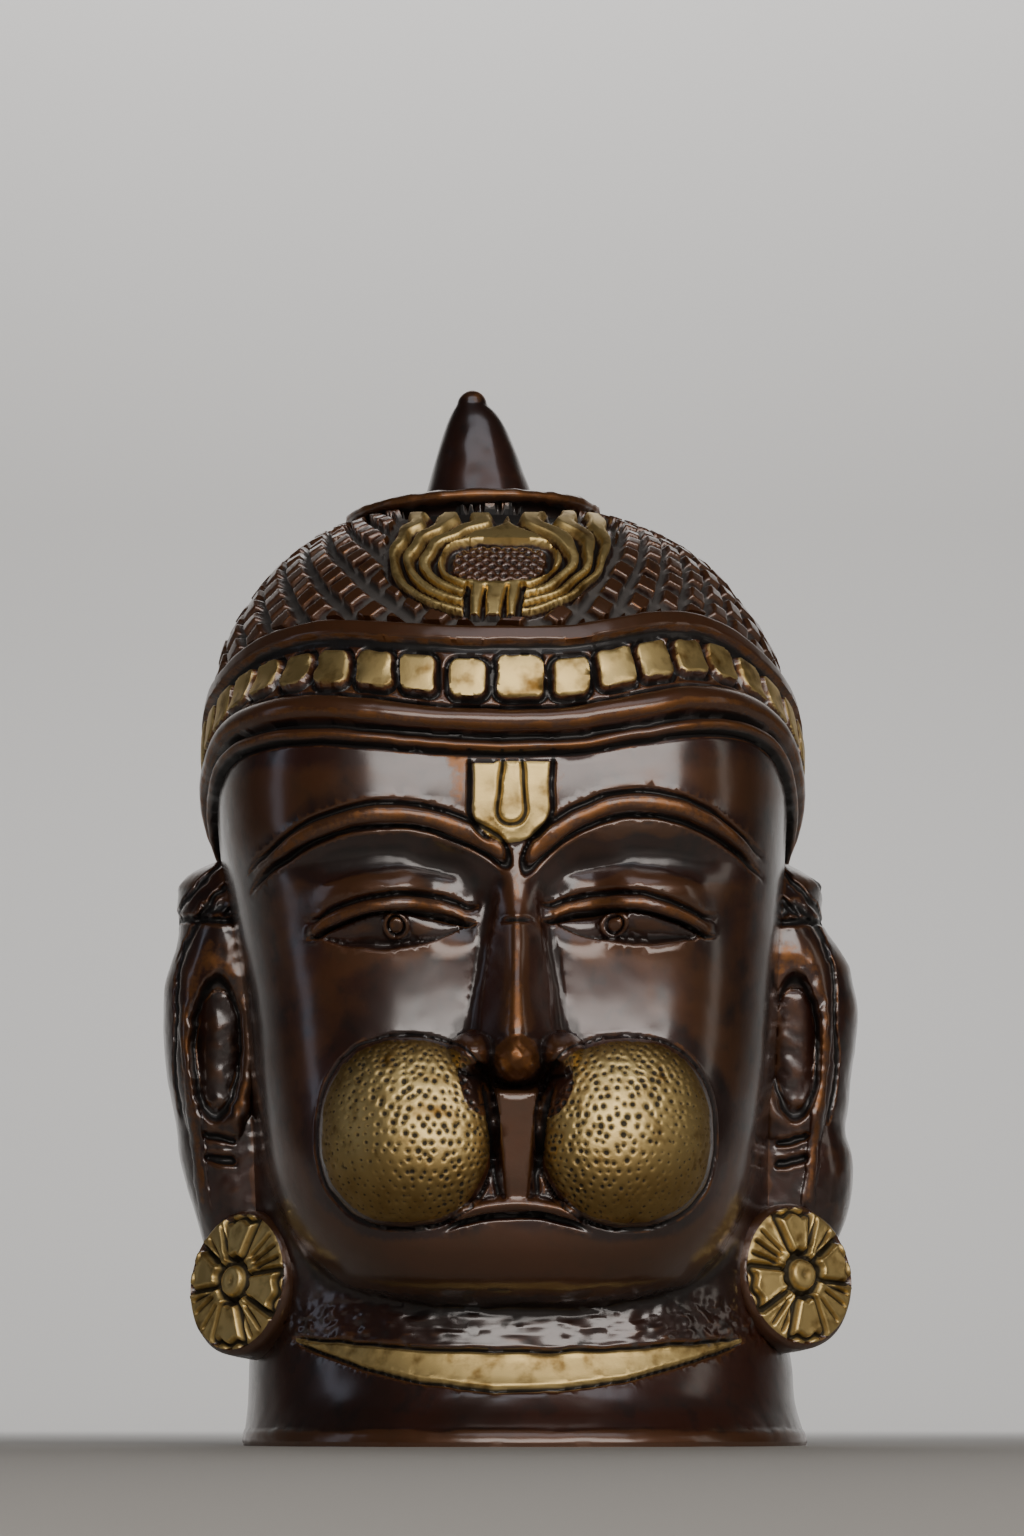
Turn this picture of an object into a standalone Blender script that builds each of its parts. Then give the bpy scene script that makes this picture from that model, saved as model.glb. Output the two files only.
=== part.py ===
"""A cast brass mask of a monkey-faced deity, hollow and open behind, that stands on its own neck.

Metres, +Z up, the face looks along -Y and the flat back rim lies on a wall at +Y.
The head is carved on a drawing in millimetres and stretched to the sizes below.
"""

import math

import bmesh
import bpy
import numpy as np

mm = 0.001

# Sizes that can be set by themselves.
HEAD_HEIGHT = 167.2 * mm  # base to the rim of the crown disc
HEAD_WIDTH = 107.4 * mm  # across the headband
HEAD_DEPTH = 81.3 * mm  # back rim to the tip of the nose
WALL = 4.0 * mm  # thickness of the casting
DISC_RADIUS = 23.2 * mm
DISC_THICKNESS = 2.2 * mm
FINIAL_RADIUS = 10.7 * mm  # at its foot
FINIAL_HEIGHT = 23.8 * mm
EARRING_RADIUS = 12.9 * mm
EARRING_THICKNESS = 9.0 * mm
EAR_THICKNESS = 24.0 * mm  # back rim to the ear's front

# The drawing's own sizes, in millimetres, and what one drawing millimetre becomes, in metres.
DRAWN_HEIGHT = 167.2
DRAWN_WIDTH = 107.4
DRAWN_DEPTH = 81.3
UP = HEAD_HEIGHT / DRAWN_HEIGHT
ACROSS = HEAD_WIDTH / DRAWN_WIDTH
FORWARD = HEAD_DEPTH / DRAWN_DEPTH

MIDDLE = 12.0  # the widest plane of the head, forward of the back rim
FACE_AXIS = 0.9  # the nose and eyes sit this far to one side of the ears' middle

# Rows of height, sideways shift, half width and forward reach: neck, skull and dome.
SKULL = (
    (0.0, 2.4, 50.2, 54.0),
    (2.5, 2.2, 49.7, 53.0),
    (7.0, 1.8, 48.8, 49.0),
    (14.0, 1.6, 48.4, 45.0),
    (24.0, 0.9, 47.3, 42.5),
    (45.0, 0.0, 47.0, 44.5),
    (75.0, 0.0, 48.0, 50.0),
    (96.0, -1.0, 49.6, 52.0),
    (106.6, -1.6, 50.5, 53.0),
    (116.0, -1.6, 51.2, 54.0),
    (125.0, -1.6, 51.6, 54.0),
    (135.6, -2.1, 49.6, 52.0),
    (142.0, -2.5, 47.8, 48.6),
    (148.4, -2.9, 44.0, 43.6),
    (155.0, -3.2, 38.9, 38.6),
    (159.0, -3.5, 33.9, 34.0),
    (161.9, -3.9, 28.6, 29.0),
    (163.9, -4.6, 22.0, 23.0),
    (165.0, -5.4, 14.0, 15.5),
    (165.5, -6.2, 6.0, 7.5),
    (165.6, -6.6, 0.0, 0.0),
)
BACK_REACH = 0.9  # the skull's reach behind its widest plane, as a share of its half width
# Rows of height, half width and forward reach: the block of the face that stands out over the neck.
FACE = (
    (0.0, 8.0, 8.0),
    (21.0, 12.0, 30.0),
    (24.5, 24.0, 46.0),
    (27.0, 31.0, 53.0),
    (31.0, 35.6, 57.0),
    (36.0, 39.0, 58.8),
    (43.0, 42.0, 58.8),
    (60.0, 45.3, 56.5),
    (78.0, 47.0, 54.5),
    (96.0, 49.0, 54.5),
    (106.6, 50.2, 55.5),
    (116.0, 50.6, 55.0),
    (125.0, 49.0, 53.5),
    (134.0, 42.0, 47.0),
    (150.0, 20.0, 24.0),
    (170.0, 4.0, 4.0),
)
FACE_SQUARENESS = 3.1

# The nose: rows of height, half width at its foot and how far its ridge stands forward.
NOSE = (
    (60.5, 5.5, 0.0),
    (62.0, 6.6, 5.5),
    (65.0, 7.2, 9.6),
    (69.0, 7.4, 10.8),
    (75.0, 7.0, 9.8),
    (82.0, 6.2, 7.8),
    (88.0, 5.2, 5.8),
    (92.0, 4.4, 3.6),
    (97.0, 4.0, 2.0),
    (102.0, 3.6, 0.0),
)
NOSE_TIP = {"height": 65.2, "half": 4.9, "tall": 4.9, "out": 14.0}
NOSTRIL = {"aside": 7.7, "height": 66.6, "width": 4.1, "tall": 3.9, "out": 10.2}
PAD = {"aside": 18.7, "height": 53.0, "width": 15.3, "tall": 16.4, "out": 10.6, "squareness": 2.3}
# Rows for the left and right eye: aside, half length, height of the corners, opening up and down, iris aside and height.
EYE = {
    -1: (21.4, 12.7, 87.6, 2.9, 3.2, 20.6, 88.0),
    1: (19.2, 12.9, 88.0, 2.9, 2.7, 16.5, 88.4),
    "tilt": 0.95,
    "lid": 2.5,
    "depth": 2.1,
}
IRIS = {"radius": 2.15, "out": 0.55}
# Rows for the left and right brow: aside and height of the arch, inner curve, outer curve and outer end.
BROW = {
    -1: (22.6, 107.4, 0.0162, 0.0175, 46.0),
    1: (21.7, 109.3, 0.0240, 0.0215, 42.5),
    "inner": 1.6,
    "width": 3.4,
    "out": 1.5,
}
TILAK = {"shift": -1.0, "half": 6.55, "centre": 108.8, "top": 123.5, "loop": 2.3, "loop_centre": 107.8}
LIP = {"height": 40.6, "half": 12.5, "width": 3.0, "out": 4.2}
COLLAR = {"top": 16.2, "bottom": 9.6, "top_rise": 0.0017, "bottom_rise": 0.0056, "half": 40.0}
GROOVE_WIDTH = 1.3
GROOVE_DEPTH = 0.8

# The headband: degrees round from straight ahead and the height of the row of squares' middle,
# then its ridges, measured up the surface from there.
BAND_ROWS = (
    (-118, 101.0),
    (-100, 116.5),
    (-85, 124.0),
    (-69, 128.0),
    (-61, 130.2),
    (-52, 132.0),
    (-44, 132.7),
    (-34, 132.9),
    (-24, 131.9),
    (-12, 130.7),
    (2, 130.2),
    (13, 130.6),
    (23, 132.3),
    (33, 134.2),
    (42, 134.8),
    (52, 133.6),
    (62, 130.6),
    (73, 127.0),
    (85, 123.4),
    (100, 116.0),
    (118, 101.0),
)
BAND = {"low": -12.9, "thin": -11.6, "rim": -7.3, "channel": -5.0, "upper": 5.7, "high": 8.9, "top": 9.7}
BAND_RISE = {"thin": 1.9, "rim": 3.1, "channel": 1.7, "square": 2.8, "upper": 2.7}
SQUARE = {"pitch": 8.55, "phase": 3.2, "wider": 0.9, "half": 3.4, "middle": 0.5}

# The lotus crest in front of the crown.
LOTUS = {"shift": -2.1, "path": 23.9, "low": 1.49, "neck_path": 12.0, "top": 15.0, "lean": 0.10, "rise": 2.1}
LOTUS_NECK = (10.4, 0.5)  # at the top the rings open out: where the first is, and how close they come
LOTUS_BANDS = ((0.0, 10.8), (11.5, 13.9), (14.5, 16.5), (17.1, 18.9))
LOTUS_BOSS = {"half": 8.3, "tall": 4.5, "groove": 0.8}
LOTUS_STEM = {"half": 3.7, "gap": 5.0, "below": -5.0, "foot": -12.6}

# The ear: rows of height and of the left and right outer edge, then the looped rim and its hollow.
EAR_EDGE = (
    (18.0, 50.4, 50.5),
    (30.0, 53.9, 54.5),
    (36.0, 55.6, 58.5),
    (41.0, 57.0, 60.6),
    (46.0, 58.6, 61.6),
    (52.0, 60.1, 61.5),
    (56.0, 60.5, 60.4),
    (60.0, 61.2, 60.9),
    (66.0, 62.4, 61.5),
    (72.0, 63.0, 62.4),
    (78.0, 63.1, 62.8),
    (83.0, 62.8, 61.9),
    (86.0, 61.9, 61.2),
    (89.0, 60.9, 59.4),
    (92.0, 60.4, 57.2),
    (95.0, 60.4, 56.0),
    (98.5, 60.3, 56.1),
    (101.0, 60.0, 55.9),
    (103.0, 57.8, 52.7),
    (104.8, 53.7, 49.5),
    (106.0, 49.4, 47.5),
)
EAR_LOOP = {"aside": 50.6, "height": 69.8, "half": 5.3, "tall": 15.2, "width": 3.9}
EAR_ROOT = 41.0  # where the ear starts inside the head
# Aside, height and turn of the left and right earring.
EARRING = {-1: (48.4, 28.7, 45.0), 1: (50.7, 29.8, 38.0), "forward": 29.0, "lift": 7.0}

DISC_PLACE = (-7.0, 12.0, 167.5)
DISC_AXIS = (-0.036, -0.03, 1.0)
FINIAL_PLACE = (-6.2, 12.0, 166.8)
FINIAL_AXIS = (-0.045, 0.0, 1.0)

HEAD_TRIANGLES = 6600
BEHIND = 5.0  # how far solids run past the back rim before they are cut flush


def eased(value):
    value = np.clip(value, 0, 1)
    return value * value * (3 - 2 * value)


def step(low, high, value):
    """0 up to low, 1 from high on, and a smooth rise between."""
    return eased((value - low) / (high - low))


def hump(distance, width):
    """A rounded ridge: 1 on its line and 0 at half its width."""
    return np.sqrt(np.clip(1 - (2 * distance / width) ** 2, 0, 1))


def groove(distance, width=GROOVE_WIDTH, depth=GROOVE_DEPTH):
    return -depth * eased(1 - np.abs(distance) * 2 / width)


def larger(a, b, blend):
    """The larger of two, rounded where they meet."""
    mix = np.clip(blend - np.abs(a - b), 0, None) / blend
    return np.maximum(a, b) + mix * mix * blend / 4


def read(rows, place):
    """A smooth curve through rows of (place, values), read at each place."""
    rows = np.array(rows, float)
    at, values = rows[:, 0], rows[:, 1:]
    slopes = np.gradient(values, at, axis=0)
    shape = np.shape(place)
    place = np.clip(np.ravel(place), at[0], at[-1])
    i = np.clip(np.searchsorted(at, place) - 1, 0, len(at) - 2)
    span = (at[i + 1] - at[i])[:, None]
    t = ((place - at[i]) / span[:, 0])[:, None]
    first = values[i] * (1 + 2 * t) * (1 - t) ** 2 + slopes[i] * span * t * (1 - t) ** 2
    last = values[i + 1] * t * t * (3 - 2 * t) + slopes[i + 1] * span * t * t * (t - 1)
    return (first + last).T.reshape((values.shape[1], *shape))


def skull_path():
    """The skull's rows with the distance up its side in front of each."""
    rows = np.array(SKULL)
    runs = np.hypot(np.diff(rows[:, 0]), np.diff(rows[:, 2]))
    return np.column_stack([np.concatenate([[0], np.cumsum(runs)]), rows])


SKULL_PATH = skull_path()
PATH_END = SKULL_PATH[-1, 0]


def path_at(height):
    """The distance up the skull's side at a height."""
    return np.interp(height, SKULL_PATH[:, 1], SKULL_PATH[:, 0])


def section_radius(angle, half_width, front, back, squareness):
    """How far a rounded section reaches from its middle at an angle from straight ahead."""
    reach = np.where(np.cos(angle) > 0, front, back)
    sides = (np.abs(np.sin(angle)) / np.maximum(half_width, 1e-6)) ** squareness
    ahead = (np.abs(np.cos(angle)) / np.maximum(reach, 1e-6)) ** squareness
    return (sides + ahead) ** (-1 / squareness)


def base_form(angle, path, inset=0.0):
    """Neck, skull and face block, without features: sideways, forward and up."""
    height, centre, half, front = read(SKULL_PATH, path)
    skull = section_radius(angle, half, front, half * BACK_REACH, 2.0)
    face_half, face_front = read(FACE, height)
    face = section_radius(angle, face_half, face_front, face_half * 0.5, FACE_SQUARENESS)
    radius = np.maximum(larger(skull, face, 2.0) - inset, 0)
    radius = np.where(half < 1e-6, 0, radius)
    return centre + radius * np.sin(angle), MIDDLE + radius * np.cos(angle), height


def nose(x, z):
    half, out = read(NOSE, z)
    out = np.where((z < NOSE[0][0]) | (z > NOSE[-1][0]), 0, out)
    across = np.sqrt(x * x + 0.8) - 0.9
    wedge = out * np.clip(1 - across / np.maximum(half, 0.1), 0, 1)
    tip = np.hypot(x / NOSE_TIP["half"], (z - NOSE_TIP["height"]) / NOSE_TIP["tall"])
    wing = np.hypot((np.abs(x) - NOSTRIL["aside"]) / NOSTRIL["width"], (z - NOSTRIL["height"]) / NOSTRIL["tall"])
    wings = NOSTRIL["out"] * hump(wing, 2)
    return larger(larger(wedge, NOSE_TIP["out"] * hump(tip, 2), 2.4), wings, 1.0) - 0.25


def pad_distance(x, z):
    """0 in the middle of the muzzle pad on that side, and 1 at its edge."""
    across = np.abs(np.abs(x) - PAD["aside"]) / PAD["width"]
    up = np.abs(z - PAD["height"]) / PAD["tall"]
    return (across ** PAD["squareness"] + up ** PAD["squareness"]) ** (1 / PAD["squareness"])


def mouth_height(x):
    """The lip bows down on each side of the middle."""
    return LIP["height"] - 0.017 * x * x


def features(x, z):
    """How far nose, pads, brow sockets, strip and lip stand forward of the face block."""
    pads = PAD["out"] * hump(pad_distance(x, z), 2)
    socket = -3.2 * eased(1.25 - np.hypot((np.abs(x) - 11.0) / 8.0, (z - 94.0) / 8.5))
    under_brow = -1.5 * eased(1.2 - np.hypot((np.abs(x) - 24.0) / 18.0, (z - 100.0) / 4.6))
    orbit = 2.2 * eased(1.15 - np.hypot((np.abs(x) - 21.5) / 14.5, (z - 92.5) / 7.5))
    strip_half = 1.9 + (z - LIP["height"]) * 0.09
    strip = 4.6 * step(62, 59, z) * step(LIP["height"] - 1, LIP["height"] + 1, z)
    strip = strip * step(strip_half + 0.45, strip_half - 0.3, np.abs(x))
    lip = LIP["out"] * hump(z - mouth_height(x), LIP["width"]) * step(LIP["half"], LIP["half"] - 3, np.abs(x))
    muzzle = larger(larger(pads, strip, 0.5), lip, 0.8)
    return larger(nose(x, z), muzzle, 0.7) + socket + under_brow + orbit


def form(angle, path):
    """The head with its large features, before any fine carving."""
    x, forward, z = base_form(angle, path)
    ahead = step(0.05, 0.4, np.cos(angle))
    return x, forward + features(x - FACE_AXIS, z) * ahead, z


def band_path(angle):
    """How far up the side the middle of the headband runs, at each angle."""
    turn = np.degrees(np.clip(angle, -2.06, 2.06))
    return path_at(read(BAND_ROWS, turn)[0])


def square_distance(angle, up):
    """How far a point is outside the nearest square of the row, and negative inside it."""
    turn = np.degrees(angle) - SQUARE["phase"]
    pitch, wider = SQUARE["pitch"], SQUARE["wider"]
    beside = np.sign(turn) * (np.abs(turn) - wider) / pitch
    turn = np.where(np.abs(turn) < pitch + wider, turn / (pitch + wider), beside)
    along = (turn - np.round(turn)) * math.radians(pitch) * 56
    half = SQUARE["half"] + SQUARE["middle"] * (np.round(turn) == 0)
    return ((np.abs(along) / half) ** 5 + (np.abs(up) / SQUARE["half"]) ** 5) ** 0.2 * half - half


def headband(angle, up):
    """Ridges, channel and the row of squares, from their distance up the surface."""
    rise = BAND_RISE["thin"] * hump(up - BAND["thin"], 2.7)
    rise = np.maximum(rise, BAND_RISE["rim"] * hump(up - BAND["rim"], 4.2))
    channel = step(BAND["channel"] - 0.5, BAND["channel"] + 0.2, up)
    rise = np.where(channel > 0, np.maximum(rise * (1 - channel), BAND_RISE["channel"] * channel), rise)
    square = square_distance(angle, up)
    in_row = np.abs(up) < BAND["upper"] - 0.5
    rise = np.where(in_row, np.maximum(rise, BAND_RISE["square"] * step(0.25, -0.3, square)), rise)
    upper = step(BAND["upper"] - 0.35, BAND["upper"] + 0.35, up) * step(BAND["high"] + 0.8, BAND["high"] - 0.5, up)
    crown = 0.35 * hump(up - (BAND["upper"] + BAND["high"]) / 2, 5.0)
    above = np.maximum(rise * step(8.0, 6.5, up), upper * (BAND_RISE["upper"] + crown))
    return np.where(up > BAND["upper"] - 0.5, above, rise)


def lotus_place(x, up):
    """Sideways and upwards from the crest's middle, and which band of the crest a point lies in."""
    above = up - LOTUS["path"]
    aside = x - LOTUS["shift"] - LOTUS["lean"] * above
    low = np.hypot(aside, above * LOTUS["low"])
    narrow = step(-1.0, LOTUS["neck_path"], above)
    start, spread = LOTUS_NECK
    high = np.abs(aside) * (1 - narrow) + (start + spread * np.abs(aside)) * narrow
    return aside, above, np.where(above < 0, low, high)


def lotus(x, up):
    """The crest: bands around a small boss that draw in towards the top, on a short stem."""
    aside, above, ring = lotus_place(x, up)
    soft = 0.35
    raised = np.zeros(np.shape(ring))
    for start, end in LOTUS_BANDS:
        raised = np.maximum(raised, step(start - soft, start + soft, ring) * step(end + soft, end - soft, ring))
    squash = LOTUS_BOSS["half"] / LOTUS_BOSS["tall"]
    boss = (np.abs(aside) ** 3 + np.abs(above * squash) ** 3) ** (1 / 3)
    around = boss - LOTUS_BOSS["half"]
    raised = raised * step(LOTUS_BOSS["groove"] - soft, LOTUS_BOSS["groove"] + soft, around)
    raised = np.maximum(raised, 0.6 * step(soft, -soft, around))
    stem = step(LOTUS_STEM["half"] + soft, LOTUS_STEM["half"] - soft, np.abs(aside))
    gap = step(LOTUS_STEM["gap"] + soft, LOTUS_STEM["gap"] - soft, np.abs(aside))
    below = (above < LOTUS_STEM["below"]) & (above > LOTUS_STEM["foot"])
    raised = np.where(below & (ring > LOTUS_BANDS[0][1] - 3.5), np.maximum(raised * (1 - gap), stem), raised)
    return LOTUS["rise"] * raised * step(LOTUS["top"], LOTUS["top"] - 1.5, above)


def brow(x, z):
    relief = np.zeros(np.shape(x))
    for side in (-1, 1):
        aside, height, inner_curve, outer_curve, end = BROW[side]
        along = x * side
        across = along - aside
        curve = np.where(across < 0, inner_curve, outer_curve)
        off = (z - height + curve * across**2) / np.sqrt(1 + (2 * curve * across) ** 2)
        off = np.hypot(off, np.maximum(BROW["inner"] + 1.6 - along, 0))
        near = step(BROW["inner"] - 1.0, BROW["inner"] + 0.6, along) * step(end, end - 6, along)
        width = BROW["width"] * (1 - 0.42 * step(aside + 6, end, along))
        edge = width / 2 + 0.35
        inside = (along > -0.2) * step(end + 1.5, end - 3, along)
        relief += BROW["out"] * hump(off, width) * near + groove(off - edge) * inside
    return relief


def eye_carving(x, z):
    """The sunk eyeballs with their irises, the lids over them and the creases over the lids."""
    relief = np.zeros(np.shape(x))
    for side in (-1, 1):
        aside, half_length, height, opens_up, opens_down, iris_aside, iris_height = EYE[side]
        across = (x * side - aside) / half_length
        arch = np.clip(1 - across**2, 0, 1)
        up = z - height + EYE["tilt"] * across
        top_edge, low_edge = opens_up * arch**0.85, -opens_down * arch**0.95
        middle, half = (top_edge + low_edge) / 2, np.maximum((top_edge - low_edge) / 2, 0.05)
        within = np.abs(up - middle) / half
        ball = EYE["depth"] * np.sqrt(arch) * (0.5 + 0.5 * np.clip(within, 0, 1) ** 2)
        lean = 0.5 * np.clip((up - middle) / 3.0, -1, 1)  # the ball looks down
        relief += step(1.1, 0.84, within) * (arch > 0) * (lean - ball)
        near = step(1.12, 0.92, np.abs(across))
        relief += 1.35 * hump(up - top_edge - EYE["lid"] / 2, EYE["lid"]) * near
        relief += groove(up - top_edge - EYE["lid"] - 0.55, 1.3, 1.1) * near
        iris = np.hypot(x * side - iris_aside, z - iris_height)
        ring = hump(iris - IRIS["radius"], 1.0) + step(1.5, 1.1, iris)
        relief += IRIS["out"] * ring * step(1.02, 0.9, within)
    return relief


def forehead_mark(x, z):
    aside = x - TILAK["shift"]
    outline = np.hypot(aside, np.minimum(z - TILAK["centre"], 0)) - TILAK["half"]
    loop_half = TILAK["loop"] - 0.075 * np.maximum(z - TILAK["loop_centre"], 0)
    loop = np.hypot(aside - 0.2, np.minimum(z - TILAK["loop_centre"], 0)) - loop_half
    lines = groove(outline - 0.5) + groove(loop, 1.1, 0.8)
    return (0.35 * step(0.2, -0.6, outline) + lines) * step(TILAK["top"], TILAK["top"] - 0.8, z)


def muzzle_lines(x, z):
    """The line round each pad, the crease beside the nose and the deep grooves beside the strip."""
    edge = (pad_distance(x, z) - 1) * (PAD["width"] + PAD["tall"]) / 2
    ring = groove(edge - 0.15, 1.1, 0.65)
    beside = 2.9 + (z - LIP["height"]) * 0.09 + 0.055 * np.maximum(z - 52, 0) ** 1.35
    strip = groove(np.abs(x) - beside, 1.7, 1.3) * step(LIP["height"], LIP["height"] + 2, z) * step(63, 60, z)
    return ring + strip


def collar(x, z):
    top = COLLAR["top"] + COLLAR["top_rise"] * x * x
    bottom = COLLAR["bottom"] + COLLAR["bottom_rise"] * x * x
    lines = groove(z - top, 1.3, 0.8) + groove(z - bottom, 1.3, 0.8)
    band = 0.5 * step(bottom, bottom + 0.8, z) * step(top, top - 0.8, z)
    return (lines + band) * step(COLLAR["half"], COLLAR["half"] - 3, np.abs(x))


def carving(angle, path, x, z):
    """How far the fine carving stands out along the surface's normal."""
    face_x = x - FACE_AXIS
    up = path - band_path(angle)
    ahead = np.cos(angle) > 0.15
    face = brow(face_x, z) + eye_carving(face_x, z) + forehead_mark(face_x, z) + muzzle_lines(face_x, z)
    low = np.where(ahead & (z > 25), face, 0) + np.where(ahead & (z < 25), collar(x, z), 0)
    crown = lotus(x, up)
    carved = np.where(up < BAND["low"], low, headband(angle, up))
    return np.where(up > BAND["top"], crown, carved)


def head_surface(angle, path):
    """The carved surface as rows of x, y, z in metres."""
    nudge = 0.004
    stride = 0.2
    place = np.stack(form(angle, path), -1)
    round_it = np.stack(form(angle + nudge, path), -1) - np.stack(form(angle - nudge, path), -1)
    high = np.minimum(path + stride, PATH_END)
    low = np.maximum(path - stride, 0)
    up_it = np.stack(form(angle, high), -1) - np.stack(form(angle, low), -1)
    normal = np.cross(round_it, up_it)
    length = np.linalg.norm(normal, axis=-1, keepdims=True)
    normal = np.where(length > 1e-9, normal / np.maximum(length, 1e-9), (0, 0, 1))
    # Forward points away from +Y, so the cross product is turned to face out.
    outwards = np.sign((normal * (place - (0, MIDDLE, 80))).sum(-1, keepdims=True))
    outwards = np.where(length > 1e-9, np.where(outwards == 0, 1, outwards), 1)
    base = base_form(angle, path)
    relief = carving(angle, path, base[0], base[2])
    relief = np.where(base[2] < 0.5, 0, relief)
    carved = place + normal * outwards * relief[..., None]
    carved[..., 2] = np.maximum(carved[..., 2], 0)
    return to_world(carved)


def to_world(drawn):
    """Drawing millimetres, as sideways, forward and up, to metres in the mask's own frame."""
    drawn = np.asarray(drawn, float)
    x = drawn[..., 0] * ACROSS
    y = HEAD_DEPTH / 2 - drawn[..., 1] * FORWARD
    return np.stack([x, y, drawn[..., 2] * UP], -1)


def lofted(name, rings):
    """A closed object through rings of points, each with the same count, ended by a point at each end."""
    rings = np.asarray(rings, float)
    count = rings.shape[1]
    mesh = bmesh.new()
    rows = [[mesh.verts.new(point) for point in ring] for ring in rings]
    for low, high in zip(rows, rows[1:]):
        for i in range(count):
            mesh.faces.new((low[i - 1], low[i], high[i], high[i - 1]))
    for row in (rows[0], rows[-1]):
        middle = mesh.verts.new(sum((vert.co for vert in row), row[0].co * 0) / count)
        for i in range(count):
            mesh.faces.new((middle, row[i - 1], row[i]))
    bmesh.ops.recalc_face_normals(mesh, faces=mesh.faces)
    bmesh.ops.triangulate(mesh, faces=mesh.faces)
    data = bpy.data.meshes.new(name)
    mesh.to_mesh(data)
    mesh.free()
    piece = bpy.data.objects.new(name, data)
    bpy.context.collection.objects.link(piece)
    return piece


def turned(name, profile, sides, centre, axis=(0, 0, 1), carve=None):
    """A piece turned about an axis from rows of radius and height; `carve` adds height over its face."""
    axis = np.array(axis, float)
    axis /= np.linalg.norm(axis)
    across = np.cross((0, 1, 0) if abs(axis[1]) < 0.9 else (1, 0, 0), axis)
    across /= np.linalg.norm(across)
    upwards = np.cross(axis, across)
    turn = np.arange(sides) * math.tau / sides
    rings = []
    for radius, height in profile:
        flat = radius * (np.cos(turn)[:, None] * across + np.sin(turn)[:, None] * upwards)
        lift = height + (carve(radius, turn, height) if carve else 0) * np.ones(sides)
        rings.append(np.array(centre) + flat + lift[:, None] * axis)
    return lofted(name, to_world(rings))


def head_angles(spacing):
    """Even steps round the front, and a few round the part behind that is cut away."""
    front = np.radians(np.arange(-116.0, 116.0 + spacing / 2, spacing))
    back = np.linspace(front[-1], math.tau + front[0], 14)[1:-1]
    return np.concatenate([front, back])


def head():
    angles = head_angles(0.8)
    paths = np.append(np.linspace(0, PATH_END - 4, 280), PATH_END - 0.5)
    return lofted("hanuman_mask", [head_surface(angles, np.full(angles.shape, path)) for path in paths])


def hollow():
    """The inside of the casting, that runs out of the back and through the bottom."""
    angles = head_angles(5.0)
    rings = []
    for path in np.linspace(0, PATH_END - 12, 34):
        x, forward, z = base_form(angles, np.full(angles.shape, path), inset=WALL / mm)
        face_x = x - FACE_AXIS
        pads = 8.6 * hump(np.hypot((np.abs(face_x) - PAD["aside"]) / 11.8, (z - PAD["height"]) / 12.6), 2)
        ridge = 6.8 * hump(np.hypot(face_x / 5.0, (z - 71.0) / 11.0), 2)
        forward = forward + np.maximum(pads, ridge) * (np.cos(angles) > 0.3)
        z = z - WALL / mm * step(PATH_END - 90, PATH_END - 12, path)
        z = np.where(path < 1, -BEHIND, z)
        rings.append(to_world(np.stack([x, forward, z], -1)))
    return lofted("hollow", rings)


def ear_rings(side, inset, heights):
    """Sections of an ear from its root inside the head to its edge, behind the back rim at both ends."""
    around = np.radians(np.linspace(0, 90, 30))
    rings = []
    for z in heights:
        root = EAR_ROOT - 2 * inset
        reach = read(EAR_EDGE, z)[(side + 1) // 2] - inset - root
        out = root + reach * np.sin(around) ** 0.62
        front = EAR_THICKNESS / FORWARD - inset
        front = front * (1 - 0.35 * step(92, 106, z)) * (1 - 0.25 * step(40, 20, z))
        forward = (front + BEHIND) * np.cos(around) ** 0.42 - BEHIND
        if not inset:
            forward = forward + ear_carving(out, z) * np.cos(around)
        out = np.concatenate([out, [root]])
        forward = np.concatenate([forward, [-BEHIND]])
        rings.append(to_world(np.stack([side * out, forward, np.full(out.shape, z)], -1)))
    return rings


def ear_carving(x, z):
    """The looped rim, the hollow inside it and the notches of the lobe under it."""
    loop = np.hypot((x - EAR_LOOP["aside"]) / EAR_LOOP["half"], (z - EAR_LOOP["height"]) / EAR_LOOP["tall"])
    off = (loop - 1) * EAR_LOOP["half"]
    rim = 2.0 * hump(off, EAR_LOOP["width"]) * step(52, 58, z)
    well = -3.6 * step(-1.4, -2.6, off)
    tuft = (1.4 * hump(z - 98.5, 13) + groove(np.mod(z * 0.75 + x * 0.9, 2.6) - 1.3, 1.4, 1.0)) * step(92.5, 94.5, z)
    notches = -1.3 * step(0.1, 0.7, np.cos((z + 0.25 * (x - 50) - 53.4) * 1.85)) * step(55, 54, z) * step(45, 46, z)
    return rim + well + tuft + notches


def ear(side):
    return lofted("ear", ear_rings(side, 0.0, np.linspace(19, 105.5, 74)))


def ear_pocket(side):
    """The hollow behind an ear, open to the head's own hollow and to the back."""
    return lofted("ear_pocket", ear_rings(side, WALL / mm, np.linspace(47, 92, 14)))


def petals(radius, turn, height):
    """Four petals, the strokes between them and the round boss, on an earring's face."""
    if height < EARRING_THICKNESS / mm * 0.7 or radius > 12:
        return 0
    if radius < 3.4:
        return 0.7
    around = np.mod(turn + math.pi / 4, math.pi / 2) - math.pi / 4
    aside = np.abs(around) * radius
    half = 3.3 * step(4.0, 8.0, radius) * step(12.4, 10.6, radius)
    return 0.8 * step(half + 0.4, half - 0.4, aside) - 0.5 * step(3.4, 4.2, radius) * step(12.2, 11.4, radius)


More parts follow.
